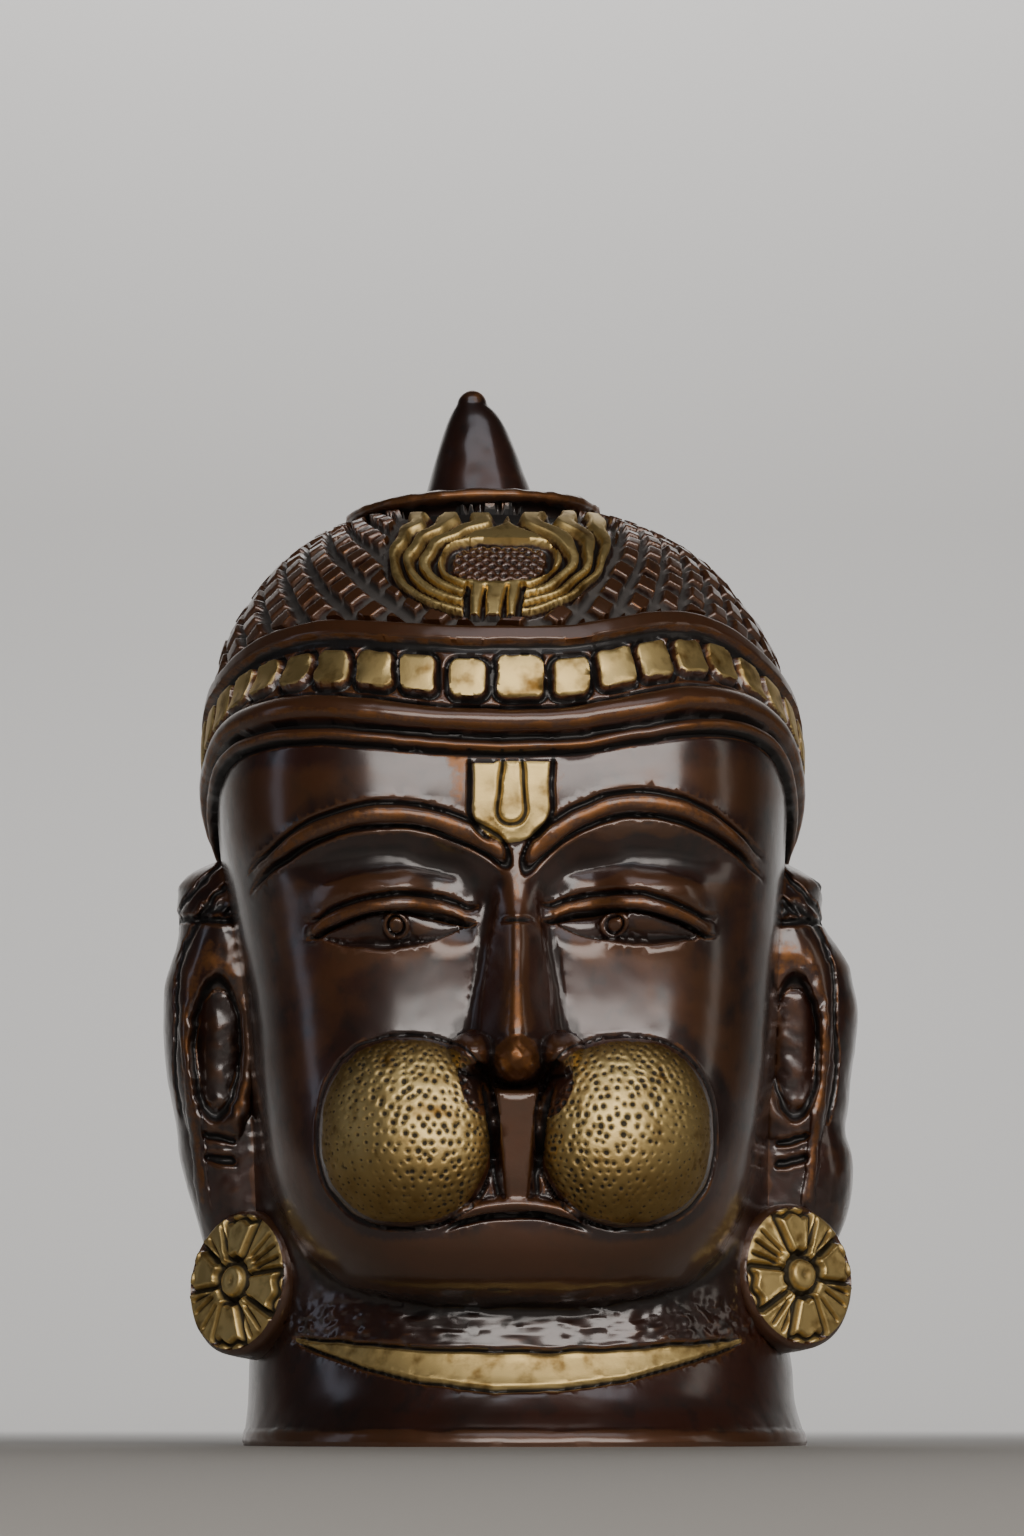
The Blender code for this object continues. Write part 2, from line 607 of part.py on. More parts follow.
def earring(side):
    aside, height, degrees = EARRING[side]
    turn, lift = math.radians(degrees), math.radians(EARRING["lift"])
    axis = (side * math.sin(turn) * math.cos(lift), math.cos(turn) * math.cos(lift), math.sin(lift))
    centre = np.array((side * aside, EARRING["forward"], height))
    r, t = EARRING_RADIUS / mm, EARRING_THICKNESS / mm
    face = [(radius, t + 1.0 * (1 - (radius / r) ** 2)) for radius in np.linspace(0.4, r - 1.2, 22)]
    side_rows = [(r - 0.4, t - 0.3), (r, t - 1.2), (r, 1.0), (r * 0.9, -3.0), (r * 0.55, -12.0), (r * 0.3, -20.0)]
    return turned("earring", face + side_rows, 56, centre - axis * np.array(t), axis, petals)


def disc():
    r, t = DISC_RADIUS / mm, DISC_THICKNESS / mm
    under = [(5.0, -9.0), (r - 2.6, -8.0), (r - 3.0, -3.4), (r - 2.4, -2.4), (r - 1.0, -1.6)]
    rim = [(r - 0.2, -1.0), (r, -t / 4), (r - 0.3, t / 2), (r - 1.4, t - 1.1), (8.0, t)]
    return turned("disc", under + rim, 72, DISC_PLACE, DISC_AXIS)


def finial():
    """A blunt horn that flares at its foot and leans a little to one side."""
    r, h = FINIAL_RADIUS / mm, FINIAL_HEIGHT / mm
    # height as a share of the finial's, radius as a share of its foot's
    shape = ((-0.09, 1.05), (0.0, 1.0), (0.235, 0.84), (0.42, 0.71), (0.605, 0.58), (0.7, 0.49), (0.79, 0.4), (0.87, 0.3))
    profile = [(r * share, up * h) for up, share in shape]
    blunt = 0.26 * r
    tip = [(blunt * math.cos(a), h - blunt + blunt * math.sin(a)) for a in np.radians((8, 28, 50, 70, 84))]
    return turned("finial", profile + tip, 48, FINIAL_PLACE, FINIAL_AXIS)


def block(name, low, high):
    mesh = bmesh.new()
    bmesh.ops.create_cube(mesh, size=1)
    for vert in mesh.verts:
        vert.co = [l + (h - l) * (c + 0.5) for l, h, c in zip(low, high, vert.co)]
    data = bpy.data.meshes.new(name)
    mesh.to_mesh(data)
    mesh.free()
    piece = bpy.data.objects.new(name, data)
    bpy.context.collection.objects.link(piece)
    return piece


def helpers(name, pieces):
    """A collection of pieces that only serve a Boolean."""
    group = bpy.data.collections.new(name)
    bpy.context.scene.collection.children.link(group)
    for piece in pieces:
        bpy.context.collection.objects.unlink(piece)
        group.objects.link(piece)
        piece.hide_render = True
        piece.display_type = "WIRE"
    return group


def boolean(piece, operation, group):
    modifier = piece.modifiers.new(operation.lower(), "BOOLEAN")
    modifier.operation = operation
    modifier.operand_type = "COLLECTION"
    modifier.collection = group
    modifier.solver = "EXACT"


def brass():
    material = bpy.data.materials.new("patinated_brass")
    material.use_nodes = True
    shader = material.node_tree.nodes["Principled BSDF"]
    shader.inputs["Base Color"].default_value = (0.068, 0.027, 0.014, 1)
    shader.inputs["Metallic"].default_value = 0.85
    shader.inputs["Roughness"].default_value = 0.34
    return material


def main():
    for obj in list(bpy.data.objects):
        bpy.data.objects.remove(obj)
    mask = head()
    mask.data.materials.append(brass())
    added = [disc(), finial()]
    for side in (-1, 1):
        added += [ear(side), earring(side)]
    boolean(mask, "UNION", helpers("added", added))
    thin = mask.modifiers.new("thin", "DECIMATE")
    thin.ratio = HEAD_TRIANGLES / 185000
    y_back = HEAD_DEPTH / 2
    behind = block("behind", (-0.1, y_back, -0.05), (0.1, y_back + 0.12, 0.25))
    below = block("below", (-0.1, -0.1, -0.05), (0.1, 0.2, 0))
    boolean(mask, "DIFFERENCE", helpers("cut", [hollow(), ear_pocket(-1), ear_pocket(1), behind, below]))


main()
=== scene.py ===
import math

import bmesh
import bpy
import numpy as np
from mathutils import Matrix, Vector, noise


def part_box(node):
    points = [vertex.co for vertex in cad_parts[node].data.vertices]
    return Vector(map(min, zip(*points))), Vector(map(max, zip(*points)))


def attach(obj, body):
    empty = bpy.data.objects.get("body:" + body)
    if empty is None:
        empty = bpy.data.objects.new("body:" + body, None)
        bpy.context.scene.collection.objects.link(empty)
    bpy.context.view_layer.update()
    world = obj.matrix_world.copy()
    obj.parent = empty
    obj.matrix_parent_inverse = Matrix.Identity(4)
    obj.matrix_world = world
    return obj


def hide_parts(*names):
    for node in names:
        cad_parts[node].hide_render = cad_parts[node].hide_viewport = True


# A hollow brass casting of a monkey-faced deity's head, chased by hand, patinated dark brown and
# polished bright on its ornament. It is carved on a drawing in millimetres: x is sideways,
# forward is the distance from the flat back rim, z is up. "path" is the way up the skull's side.

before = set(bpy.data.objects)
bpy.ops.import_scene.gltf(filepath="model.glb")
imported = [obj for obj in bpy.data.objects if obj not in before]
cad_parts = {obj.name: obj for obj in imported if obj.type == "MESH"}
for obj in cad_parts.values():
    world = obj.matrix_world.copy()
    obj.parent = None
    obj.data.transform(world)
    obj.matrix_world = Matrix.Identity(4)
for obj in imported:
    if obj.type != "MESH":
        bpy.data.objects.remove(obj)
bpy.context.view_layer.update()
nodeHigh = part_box("hanuman_mask")[1]
backRim = nodeHigh[1] * 1000

head = {
    "middle": 12.0,  # the widest plane, forward of the back rim
    "faceAxis": 0.9,  # nose and eyes are this far aside of the ears' middle
    "wall": 4.0,
    "backReach": 0.9,
    "faceSquareness": 3.1,
    # height, sideways shift, half width, forward reach
    "skull": (
        (-4.0, 2.4, 50.2, 54.0),
        (0.0, 2.4, 50.2, 54.0),
        (2.5, 2.2, 49.7, 53.0),
        (7.0, 1.8, 48.8, 49.0),
        (14.0, 1.6, 48.4, 45.0),
        (24.0, 0.9, 47.3, 42.5),
        (45.0, 0.0, 47.0, 44.5),
        (75.0, 0.0, 48.0, 50.0),
        (96.0, -1.0, 49.6, 52.0),
        (106.6, -1.6, 50.5, 53.0),
        (116.0, -1.6, 51.2, 54.0),
        (125.0, -1.6, 51.6, 54.0),
        (135.6, -2.1, 49.6, 52.0),
        (142.0, -2.5, 47.8, 48.6),
        (148.4, -2.9, 44.0, 43.6),
        (155.0, -3.2, 38.9, 38.6),
        (159.0, -3.5, 33.9, 34.0),
        (161.9, -3.9, 28.6, 29.0),
        (163.9, -4.6, 22.0, 23.0),
        (165.0, -5.4, 14.0, 15.5),
        (165.5, -6.2, 6.0, 7.5),
        (165.6, -6.6, 0.0, 0.0),
    ),
    # the block of the face: height, half width, forward reach
    "face": (
        (-4.0, 8.0, 8.0),
        (0.0, 8.0, 8.0),
        (21.0, 12.0, 30.0),
        (24.5, 24.0, 46.0),
        (27.0, 31.0, 53.0),
        (31.0, 35.6, 57.0),
        (36.0, 39.0, 58.8),
        (43.0, 42.0, 58.8),
        (60.0, 45.3, 56.5),
        (78.0, 47.0, 54.5),
        (96.0, 49.0, 54.5),
        (106.6, 50.2, 55.5),
        (116.0, 50.6, 55.0),
        (125.0, 49.0, 53.5),
        (134.0, 42.0, 47.0),
        (150.0, 20.0, 24.0),
        (170.0, 4.0, 4.0),
    ),
}


def eased(value):
    value = np.clip(value, 0, 1)
    return value * value * (3 - 2 * value)


def step(low, high, value):
    return eased((value - low) / (high - low))


def hump(distance, width):
    return np.sqrt(np.clip(1 - (2 * distance / width) ** 2, 0, 1))


def larger(a, b, blend):
    mix = np.clip(blend - np.abs(a - b), 0, None) / blend
    return np.maximum(a, b) + mix * mix * blend / 4


def roundedBox(a, b, corner):  # distance to a box with round corners, from those past its sides
    a, b = a + corner, b + corner
    return np.hypot(np.maximum(a, 0), np.maximum(b, 0)) + np.minimum(np.maximum(a, b), 0) - corner


def readRows(rows, place):  # a smooth curve through rows of (place, values)
    rows = np.array(rows, float)
    at, values = rows[:, 0], rows[:, 1:]
    slopes = np.gradient(values, at, axis=0)
    shape = np.shape(place)
    place = np.clip(np.ravel(place), at[0], at[-1])
    i = np.clip(np.searchsorted(at, place) - 1, 0, len(at) - 2)
    span = (at[i + 1] - at[i])[:, None]
    t = ((place - at[i]) / span[:, 0])[:, None]
    first = values[i] * (1 + 2 * t) * (1 - t) ** 2 + slopes[i] * span * t * (1 - t) ** 2
    last = values[i + 1] * t * t * (3 - 2 * t) + slopes[i + 1] * span * t * t * (t - 1)
    return (first + last).T.reshape((values.shape[1], *shape))


skullRows = np.array(head["skull"])
skullSteps = np.hypot(np.diff(skullRows[:, 0]), np.diff(skullRows[:, 2]))
skullRuns = np.concatenate([[0], np.cumsum(skullSteps)])
skullPath = np.column_stack([skullRuns - 4.0, skullRows])  # 0 at the base, as height is
pathEnd = skullPath[-1, 0]


def pathAt(height):
    return np.interp(height, skullPath[:, 1], skullPath[:, 0])


def worldOf(drawn):
    drawn = np.asarray(drawn, float)
    return np.stack([drawn[..., 0], backRim - drawn[..., 1], drawn[..., 2]], -1) / 1000


def roughness3d(points, size, octaves=2):  # smooth noise, about -1 to 1, over points in mm
    scaled = np.asarray(points) / size
    return np.array([noise.fractal(Vector(p), 0.6, 2.0, octaves) for p in scaled])


def sectionRadius(angle, half, front, back, squareness):
    reach = np.where(np.cos(angle) > 0, front, back)
    sides = (np.abs(np.sin(angle)) / np.maximum(half, 1e-6)) ** squareness
    ahead = (np.abs(np.cos(angle)) / np.maximum(reach, 1e-6)) ** squareness
    return (sides + ahead) ** (-1 / squareness)


def baseForm(angle, path, inset=0.0):  # neck, skull and face block: sideways, forward, up
    height, centre, half, front = readRows(skullPath, path)
    skull = sectionRadius(angle, half, front, half * head["backReach"], 2.0)
    faceHalf, faceFront = readRows(head["face"], height)
    face = sectionRadius(angle, faceHalf, faceFront, faceHalf * 0.5, head["faceSquareness"])
    radius = np.maximum(larger(skull, face, 2.0) - inset, 0)
    radius = np.where(half < 1e-6, 0, radius)
    return centre + radius * np.sin(angle), head["middle"] + radius * np.cos(angle), height


# Nose, muzzle pads, eye sockets and lip: the forms that stand forward of the face block.
nose = {
    # height, half width at the crease beside it, how far the ridge stands out
    "ridge": (
        (60.5, 5.5, 0.0),
        (62.0, 6.6, 5.5),
        (65.0, 7.2, 10.6),
        (69.0, 7.4, 11.8),
        (75.0, 7.0, 10.6),
        (82.0, 6.2, 7.8),
        (88.0, 5.2, 5.8),
        (92.0, 4.4, 3.6),
        (97.0, 4.0, 2.0),
        (102.0, 3.6, 0.0),
    ),
    "tip": {"height": 65.2, "half": 4.9, "tall": 4.9, "out": 13.8},
    "wing": {"aside": 7.4, "height": 66.0, "half": 4.5, "tall": 4.2, "out": 11.6},
    "nostril": {"aside": 6.2, "height": 63.4, "half": 1.6, "tall": 0.9, "depth": 0.7},
    "notch": 89.0,  # a nick across the bridge, between the eyes
}
pads = {"aside": 18.7, "height": 53.0, "half": 15.3, "tall": 16.4, "out": 10.6, "squareness": 2.3}
lip = {"height": 40.6, "half": 12.5, "width": 3.0, "out": 4.2, "bow": 0.017}
strip = {"half": 1.9, "widens": 0.09, "out": 3.4, "leans": 0.2, "top": 59.0}  # under the nose
softForms = (
    # out, aside, height, half width, half height, reach
    (-3.2, 11.0, 94.0, 8.0, 8.5, 1.25),  # the socket beside the nose
    (-1.5, 24.0, 100.0, 18.0, 4.6, 1.2),  # under the brow
    (2.2, 21.5, 92.5, 14.5, 7.5, 1.15),  # the swell of the lid
)


def noseForm(x, z):
    half, out = readRows(nose["ridge"], z)
    out = np.where((z < nose["ridge"][0][0]) | (z > nose["ridge"][-1][0]), 0, out)
    soft = 0.7 + 3.0 * step(80, 68, z)  # the ridge is blunter towards the tip
    across = np.sqrt(x * x + soft) - np.sqrt(soft)
    wedge = out * np.clip(1 - across / np.maximum(half, 0.1), 0, 1)
    tip, wing = nose["tip"], nose["wing"]
    ball = tip["out"] * hump(np.hypot(x / tip["half"], (z - tip["height"]) / tip["tall"]), 2)
    wings = np.hypot((np.abs(x) - wing["aside"]) / wing["half"], (z - wing["height"]) / wing["tall"])
    return larger(larger(wedge, ball, 4.2), wing["out"] * hump(wings, 2), 1.2) - 0.25


def padPlace(x, z):  # 0 in the middle of a pad, 1 at its edge
    across = np.abs(np.abs(x) - pads["aside"]) / pads["half"]
    up = np.abs(z - pads["height"]) / pads["tall"]
    return (across ** pads["squareness"] + up ** pads["squareness"]) ** (1 / pads["squareness"])


def stripHalf(z):
    return strip["half"] + (z - lip["height"]) * strip["widens"]


def features(x, z):
    up = z - lip["height"]
    padForm = pads["out"] * hump(padPlace(x, z), 2)
    stripForm = (strip["out"] + strip["leans"] * up) * step(strip["top"] + 3, strip["top"], z)
    stripForm = stripForm * step(-1, 1, up) * step(stripHalf(z) + 1.0, stripHalf(z) - 0.5, np.abs(x))
    lipForm = lip["out"] * hump(up + lip["bow"] * x * x, lip["width"])
    lipForm = lipForm * step(lip["half"], lip["half"] - 3.5, np.abs(x))
    total = larger(larger(padForm, stripForm, 0.5), lipForm, 0.8)
    total = larger(noseForm(x, z), total, 0.6)
    for out, aside, height, half, tall, reach in softForms:
        total = total + out * eased(reach - np.hypot((np.abs(x) - aside) / half, (z - height) / tall))
    return total


def form(angle, path):
    x, forward, z = baseForm(angle, path)
    ahead = step(0.05, 0.4, np.cos(angle))
    return x, forward + features(x - head["faceAxis"], z) * ahead, z


# Marks on the metal, point by point. relief is how far it stands out; line, gold and grime are
# distances in mm to a chased line (negative inside), and into polished or sooty metal; line also holds
# the painted shade in the nostrils. worn and tarnish run from 0 to 1; tarnish also holds painted shade on
# the muzzle pads.
def blankMarks(shape):
    return {
        "relief": np.zeros(shape),
        "line": np.full(shape, 4.0),
        "gold": np.full(shape, -4.0),
        "grime": np.full(shape, -4.0),
        "worn": np.zeros(shape),
        "tarnishAndShade": np.zeros(shape),
    }


def lay(marks, others, where):  # puts other marks in place of these
    for key, values in others.items():
        marks[key] = np.where(where, values, marks[key])


def darken(marks, distance):
    marks["line"] = np.minimum(marks["line"], distance)


def cutLine(marks, distance, width, depth, strength=1.0):
    distance = np.abs(distance)
    marks["relief"] += -depth * eased(1.15 - distance * 2 / width) * strength
    lips = eased(1 - np.abs(distance - width * 0.72) / (width * 0.32))
    marks["relief"] += 0.12 * depth * lips * strength  # the burr that the chisel raises
    darken(marks, np.where(strength > 0.02, distance - width * 0.36 * strength, 4))


def polish(marks, inside, amount=0.0):
    marks["gold"] = np.maximum(marks["gold"], inside)
    marks["relief"] += amount * step(-0.2, 0.5, inside)


def wear(marks, amount):
    marks["worn"] = np.maximum(marks["worn"], amount)


def chance(index, seed):  # the same 0 to 1 for the same index
    return np.mod(np.abs(np.sin(index * 12.9898 + seed * 78.233) * 43758.5453), 1)


brows = {
    # side: aside, height, inner curve, outer curve, outer end
    -1: (22.6, 107.4, 0.0162, 0.0175, 46.0),
    1: (21.7, 109.3, 0.0240, 0.0215, 42.5),
    "inner": 1.6,
    "width": 3.3,
    "out": 1.5,
    "line": 1.25,
    "depth": 0.95,
}


def carveBrows(marks, x, z):
    for side in (-1, 1):
        aside, height, innerCurve, outerCurve, end = brows[side]
        s = x * side
        across = s - aside
        curve = np.where(across < 0, innerCurve, outerCurve)
        off = (z - height + curve * across**2) / np.sqrt(1 + (2 * curve * across) ** 2)
        near = step(brows["inner"] - 1.0, brows["inner"] + 0.6, s) * step(end, end - 6, s)
        width = brows["width"] * (1 - 0.42 * step(aside + 6, end, s))
        capped = np.hypot(off, np.maximum(brows["inner"] + 1.6 - s, 0))
        marks["relief"] += brows["out"] * hump(capped, width) * near
        wear(marks, 0.75 * step(0.55, 0.95, hump(capped, width)) * near)
        edge = width / 2 + 0.35
        inside = (s > -0.2) * step(end + 1.5, end - 3, s)
        cutLine(marks, capped - edge, brows["line"], brows["depth"], inside)


eyes = {
    # side: aside, half length, height of the corners, opening up and down, iris aside and height
    -1: (21.4, 12.7, 87.6, 2.9, 3.2, 20.6, 88.0),
    1: (19.2, 12.9, 88.0, 2.9, 2.7, 16.5, 88.4),
    "tilt": 0.95,  # the outer corner hangs lower
    "lid": 2.5,
    "depth": 2.1,
    "iris": 2.15,
}


def carveEyes(marks, x, z):
    for side in (-1, 1):
        aside, half, height, opensUp, opensDown, irisAside, irisHeight = eyes[side]
        s = x * side
        across = (s - aside) / half
        arch = np.clip(1 - across**2, 0, 1)
        up = z - height + eyes["tilt"] * across
        top, low = opensUp * arch**0.85, -opensDown * arch**0.95
        middle, tall = (top + low) / 2, np.maximum((top - low) / 2, 0.05)
        within = np.abs(up - middle) / tall
        opened = step(1.1, 0.84, within) * (arch > 0)
        sunk = eyes["depth"] * np.sqrt(arch) * (0.5 + 0.5 * np.clip(within, 0, 1) ** 2)
        lean = 0.5 * np.clip((up - middle) / 3.0, -1, 1)  # the ball looks down
        marks["relief"] += opened * (lean - sunk)
        near = step(1.2, 0.98, np.abs(across))
        lidOff = up - top - eyes["lid"] / 2
        marks["relief"] += 1.35 * hump(lidOff, eyes["lid"]) * near
        wear(marks, 0.7 * step(0.5, 0.95, hump(lidOff, eyes["lid"])) * near)
        cutLine(marks, up - top - eyes["lid"] - 0.55, 1.25, 1.1, near)
        cutLine(marks, up - top, 1.0, 0.7, near)
        fold = up - top - eyes["lid"] - 3.0 - 0.8 * across  # a soft second fold above the lid
        marks["relief"] += 0.55 * hump(fold, 4.4) * step(1.1, 0.7, np.abs(across))
        iris = np.hypot(s - irisAside, z - irisHeight)
        ring = step(0.62, 0.3, np.abs(iris - eyes["iris"])) + step(1.45, 1.1, iris)
        marks["relief"] += 0.55 * ring * step(1.02, 0.9, within)
        cutLine(marks, iris - 1.62, 0.6, 0.3, step(1.02, 0.9, within))
        wear(marks, 0.45 * step(1.4, 1.0, iris) * step(1.0, 0.85, within))


tilak = {"shift": -1.0, "half": 6.55, "centre": 108.8, "foot": 1.02, "loop": 2.3, "loopCentre": 107.8}


def carveForehead(marks, x, z):
    aside = x - tilak["shift"]
    below = np.minimum(z - tilak["centre"], 0)
    outline = np.hypot(aside, below * tilak["foot"]) - tilak["half"]
    sides = (z > 101) * step(124, 121, z)
    narrow = tilak["loop"] - 0.075 * np.maximum(z - tilak["loopCentre"], 0)
    loop = np.hypot(aside - 0.2, np.minimum(z - tilak["loopCentre"], 0)) - narrow
    inside = np.where(sides > 0.5, -outline, -4)
    polish(marks, inside, 0.35)
    cutLine(marks, outline - 0.55, 1.15, 0.95, sides * step(102.2, 103.4, z))
    cutLine(marks, loop, 1.0, 0.85, sides)
    wear(marks, 0.8 * np.exp(-(((aside + 8.6) / 2.6) ** 2)) * step(106, 112, z))
    wear(marks, 0.45 * np.exp(-(((aside - 8.6) / 1.6) ** 2)) * step(106, 112, z))


punches = {
    "pitch": 1.7,
    "radius": 0.5,
    "depth": 0.36,
    "rowShare": 0.87,  # of the pitch, from row to row
    "scale": 0.92,
    "offset": 37.0,  # the right pad takes another part of the scatter
}


def nearestPunch(across, up):  # distance to the nearest of a scattered grid of dots, and its draw
    best, draw = np.full(np.shape(across), 9.0), np.zeros(np.shape(across))
    pitch, share = punches["pitch"], punches["rowShare"]
    row = np.floor(up / (pitch * share))
    for dj in (-1, 0, 1):
        j = row + dj
        shift = np.mod(j, 2) * 0.5
        column = np.floor(across / pitch - shift)
        for di in (-1, 0, 1):
            i = column + di
            key = i * 7.13 + j * 31.7
            dotX = (i + shift + 0.5 + 0.62 * (chance(key, 1) - 0.5)) * pitch
            dotY = (j + 0.5 + 0.6 * (chance(key, 2) - 0.5)) * pitch * share
            distance = np.hypot(across - dotX, (up - dotY) * (0.85 + 0.3 * chance(key, 4)))
            closer = distance < best
            best = np.where(closer, distance, best)
            draw = np.where(closer, chance(key, 3), draw)
    return best, draw


def carveMuzzle(marks, x, z):
    place = padPlace(x, z)
    aside, up = np.abs(x) - pads["aside"], z - pads["height"]
    edge = (place - 1) * (pads["half"] + pads["tall"]) / 2
    outlined = step(lip["height"] - 2.0, lip["height"] + 2.5, z + np.abs(x) * 0.5)
    cutLine(marks, edge - 0.1, 0.7, 0.4, outlined)
    wear(marks, 0.45 * step(0.5, 0.1, np.abs(edge - 0.75)) * step(4, 12, up))
    # duller, browner brass towards the pads' edges and their lower part: partly tarnish, partly painted
    # shade
    dullAndShaded = np.maximum(0.9 * step(0.62, 1.0, place), 0.75 * step(4, -12, up))
    marks["tarnishAndShade"] = np.where(edge < 0, dullAndShaded, marks["tarnishAndShade"])
    nearNose = np.hypot((np.abs(x) - 5.0) / 4.2, (z - 63.0) / 7.0)  # left brown under the wings
    polish(marks, np.minimum(-edge - 0.9, (nearNose - 1.1) * 4))
    spread = np.arcsin(np.clip(place, 0, 1)) / np.maximum(place, 1e-3)  # even over the dome
    spread = spread * punches["scale"]
    distance, draw = nearestPunch(aside * spread + np.where(x > 0, punches["offset"], 0.0), up * spread)
    fine = step(-2, 12, aside - up * 0.8)
    radius = punches["radius"] * (0.8 + 0.4 * draw) * (1 - 0.3 * fine)
    inPad = step(-0.6, -1.3, edge) * (nearNose > 0.8)
    marks["relief"] -= punches["depth"] * (1 - 0.35 * fine) * step(1.15, 0.5, distance / radius) * inPad
    darken(marks, np.where(inPad > 0.5, distance - radius * 0.95, 4))
    beside = stripHalf(z) + 1.15 + 0.04 * np.maximum(z - 52, 0) ** 1.35
    foot = step(lip["height"], lip["height"] + 2, z)
    cutLine(marks, np.abs(x) - beside, 1.2, 0.7, foot * step(61.5, 59.5, z))
    edges = np.minimum(np.abs(np.abs(x) - stripHalf(z) + 0.2), np.abs(np.abs(x) - beside - 1.2))
    wear(marks, 0.62 * step(0.6, 0.1, edges) * foot * step(61, 59, z))


def carveNose(marks, x, z):
    half = readRows(nose["ridge"], z)[0]
    crease = step(66, 72, z) * step(96, 90, z)
    marks["relief"] -= 0.4 * hump(np.abs(x) - half - 0.1, 2.4) * crease
    hole = nose["nostril"]
    nostril = np.hypot((np.abs(x) - hole["aside"]) / hole["half"], (z - hole["height"]) / hole["tall"])
    marks["relief"] -= hole["depth"] * step(1.2, 0.4, nostril)
    # painted shade: the nostril dents are filled black, as a chased line is
    darken(marks, (nostril - 0.6) * 1.2)
    cutLine(marks, z - nose["notch"] + 0.02 * x * x, 1.0, 0.6, step(3.0, 1.5, np.abs(x)))
    tip = np.hypot(x / 4.6, (z - nose["tip"]["height"]) / 4.4)
    hammered = 0.5 + 0.5 * np.sin(2.4 * x + 1.3 * np.sin(1.7 * z)) * np.sin(2.1 * z + 0.9 * x)
    marks["relief"] -= 0.3 * hammered * step(1.0, 0.7, tip)
    wear(marks, (0.75 + 0.5 * hammered) * step(1.05, 0.75, tip))
    ridge = np.abs(x) / (0.9 + 1.9 * step(84, 69, z))
    wear(marks, 0.68 * step(1.3, 0.4, ridge) * step(64, 70, z) * step(103, 96, z))
    off = z - lip["height"] + lip["bow"] * x * x
    cutLine(marks, off + 1.75, 1.2, 0.6, step(13.5, 10, np.abs(x)))
    wear(marks, 0.55 * step(0.5, 1.0, hump(off, 2.2)) * step(12, 8, np.abs(x)))


collar = {"top": 16.2, "topRise": 0.0017, "bottom": 9.6, "bottomRise": 0.0056, "half": 40.0}


def collarEdges(x):  # how high its top and bottom are
    return [collar[key] + collar[key + "Rise"] * x * x for key in ("top", "bottom")]


def carveNeck(marks, x, z):
    top, bottom = collarEdges(x)
    near = step(collar["half"], collar["half"] - 4, np.abs(x))
    inside = np.minimum(np.minimum(z - bottom, top - z), collar["half"] - np.abs(x))
    polish(marks, np.where(near > 0.2, inside, -4), 0.25)
    for edge in (top, bottom):
        cutLine(marks, z - edge, 1.0, 0.75, near)
    marks["relief"] += 0.35 * hump(z - 1.6, 2.8)


headband = {
    # degrees round from straight ahead, height of the middle of the row of squares
    "rows": (
        (-118, 101.0),
        (-100, 116.5),
        (-85, 124.0),
        (-69, 128.0),
        (-61, 130.2),
        (-52, 132.0),
        (-44, 132.7),
        (-34, 132.9),
        (-24, 131.9),
        (-12, 130.7),
        (2, 130.2),
        (13, 130.6),
        (23, 132.3),
        (33, 134.2),
        (42, 134.8),
        (52, 133.6),
        (62, 130.6),
        (73, 127.0),
        (85, 123.4),
        (100, 116.0),
        (118, 101.0),
    ),
    "thin": -11.6,
    "thinWidth": 2.2,
    "rim": -7.3,
    "rimWidth": 3.9,
    "channel": -5.0,
    "upperLow": 5.7,
    "upperTop": 8.9,
    "top": 9.7,
    "pitch": 8.55,  # degrees from square to square, and how much wider the middle one is
    "wider": 0.9,
    "phase": 3.2,
    "half": 3.25,
    # where, how far above it, how wide: the sooty lines, and the crests that are worn
    "lines": (("thin", -1.25, 1.0), ("rim", -2.55, 1.2), ("channel", -0.05, 0.7), ("upperLow", -0.75, 1.5)),
    "crests": (("rim", -1.1, 1.1), ("rim", 1.5, 0.7), ("thin", -0.2, 1.0), ("upperLow", 0.2, 0.7)),
}


def bandPath(angle):
    height = readRows(headband["rows"], np.degrees(np.clip(angle, -2.06, 2.06)))[0]
    return pathAt(height)


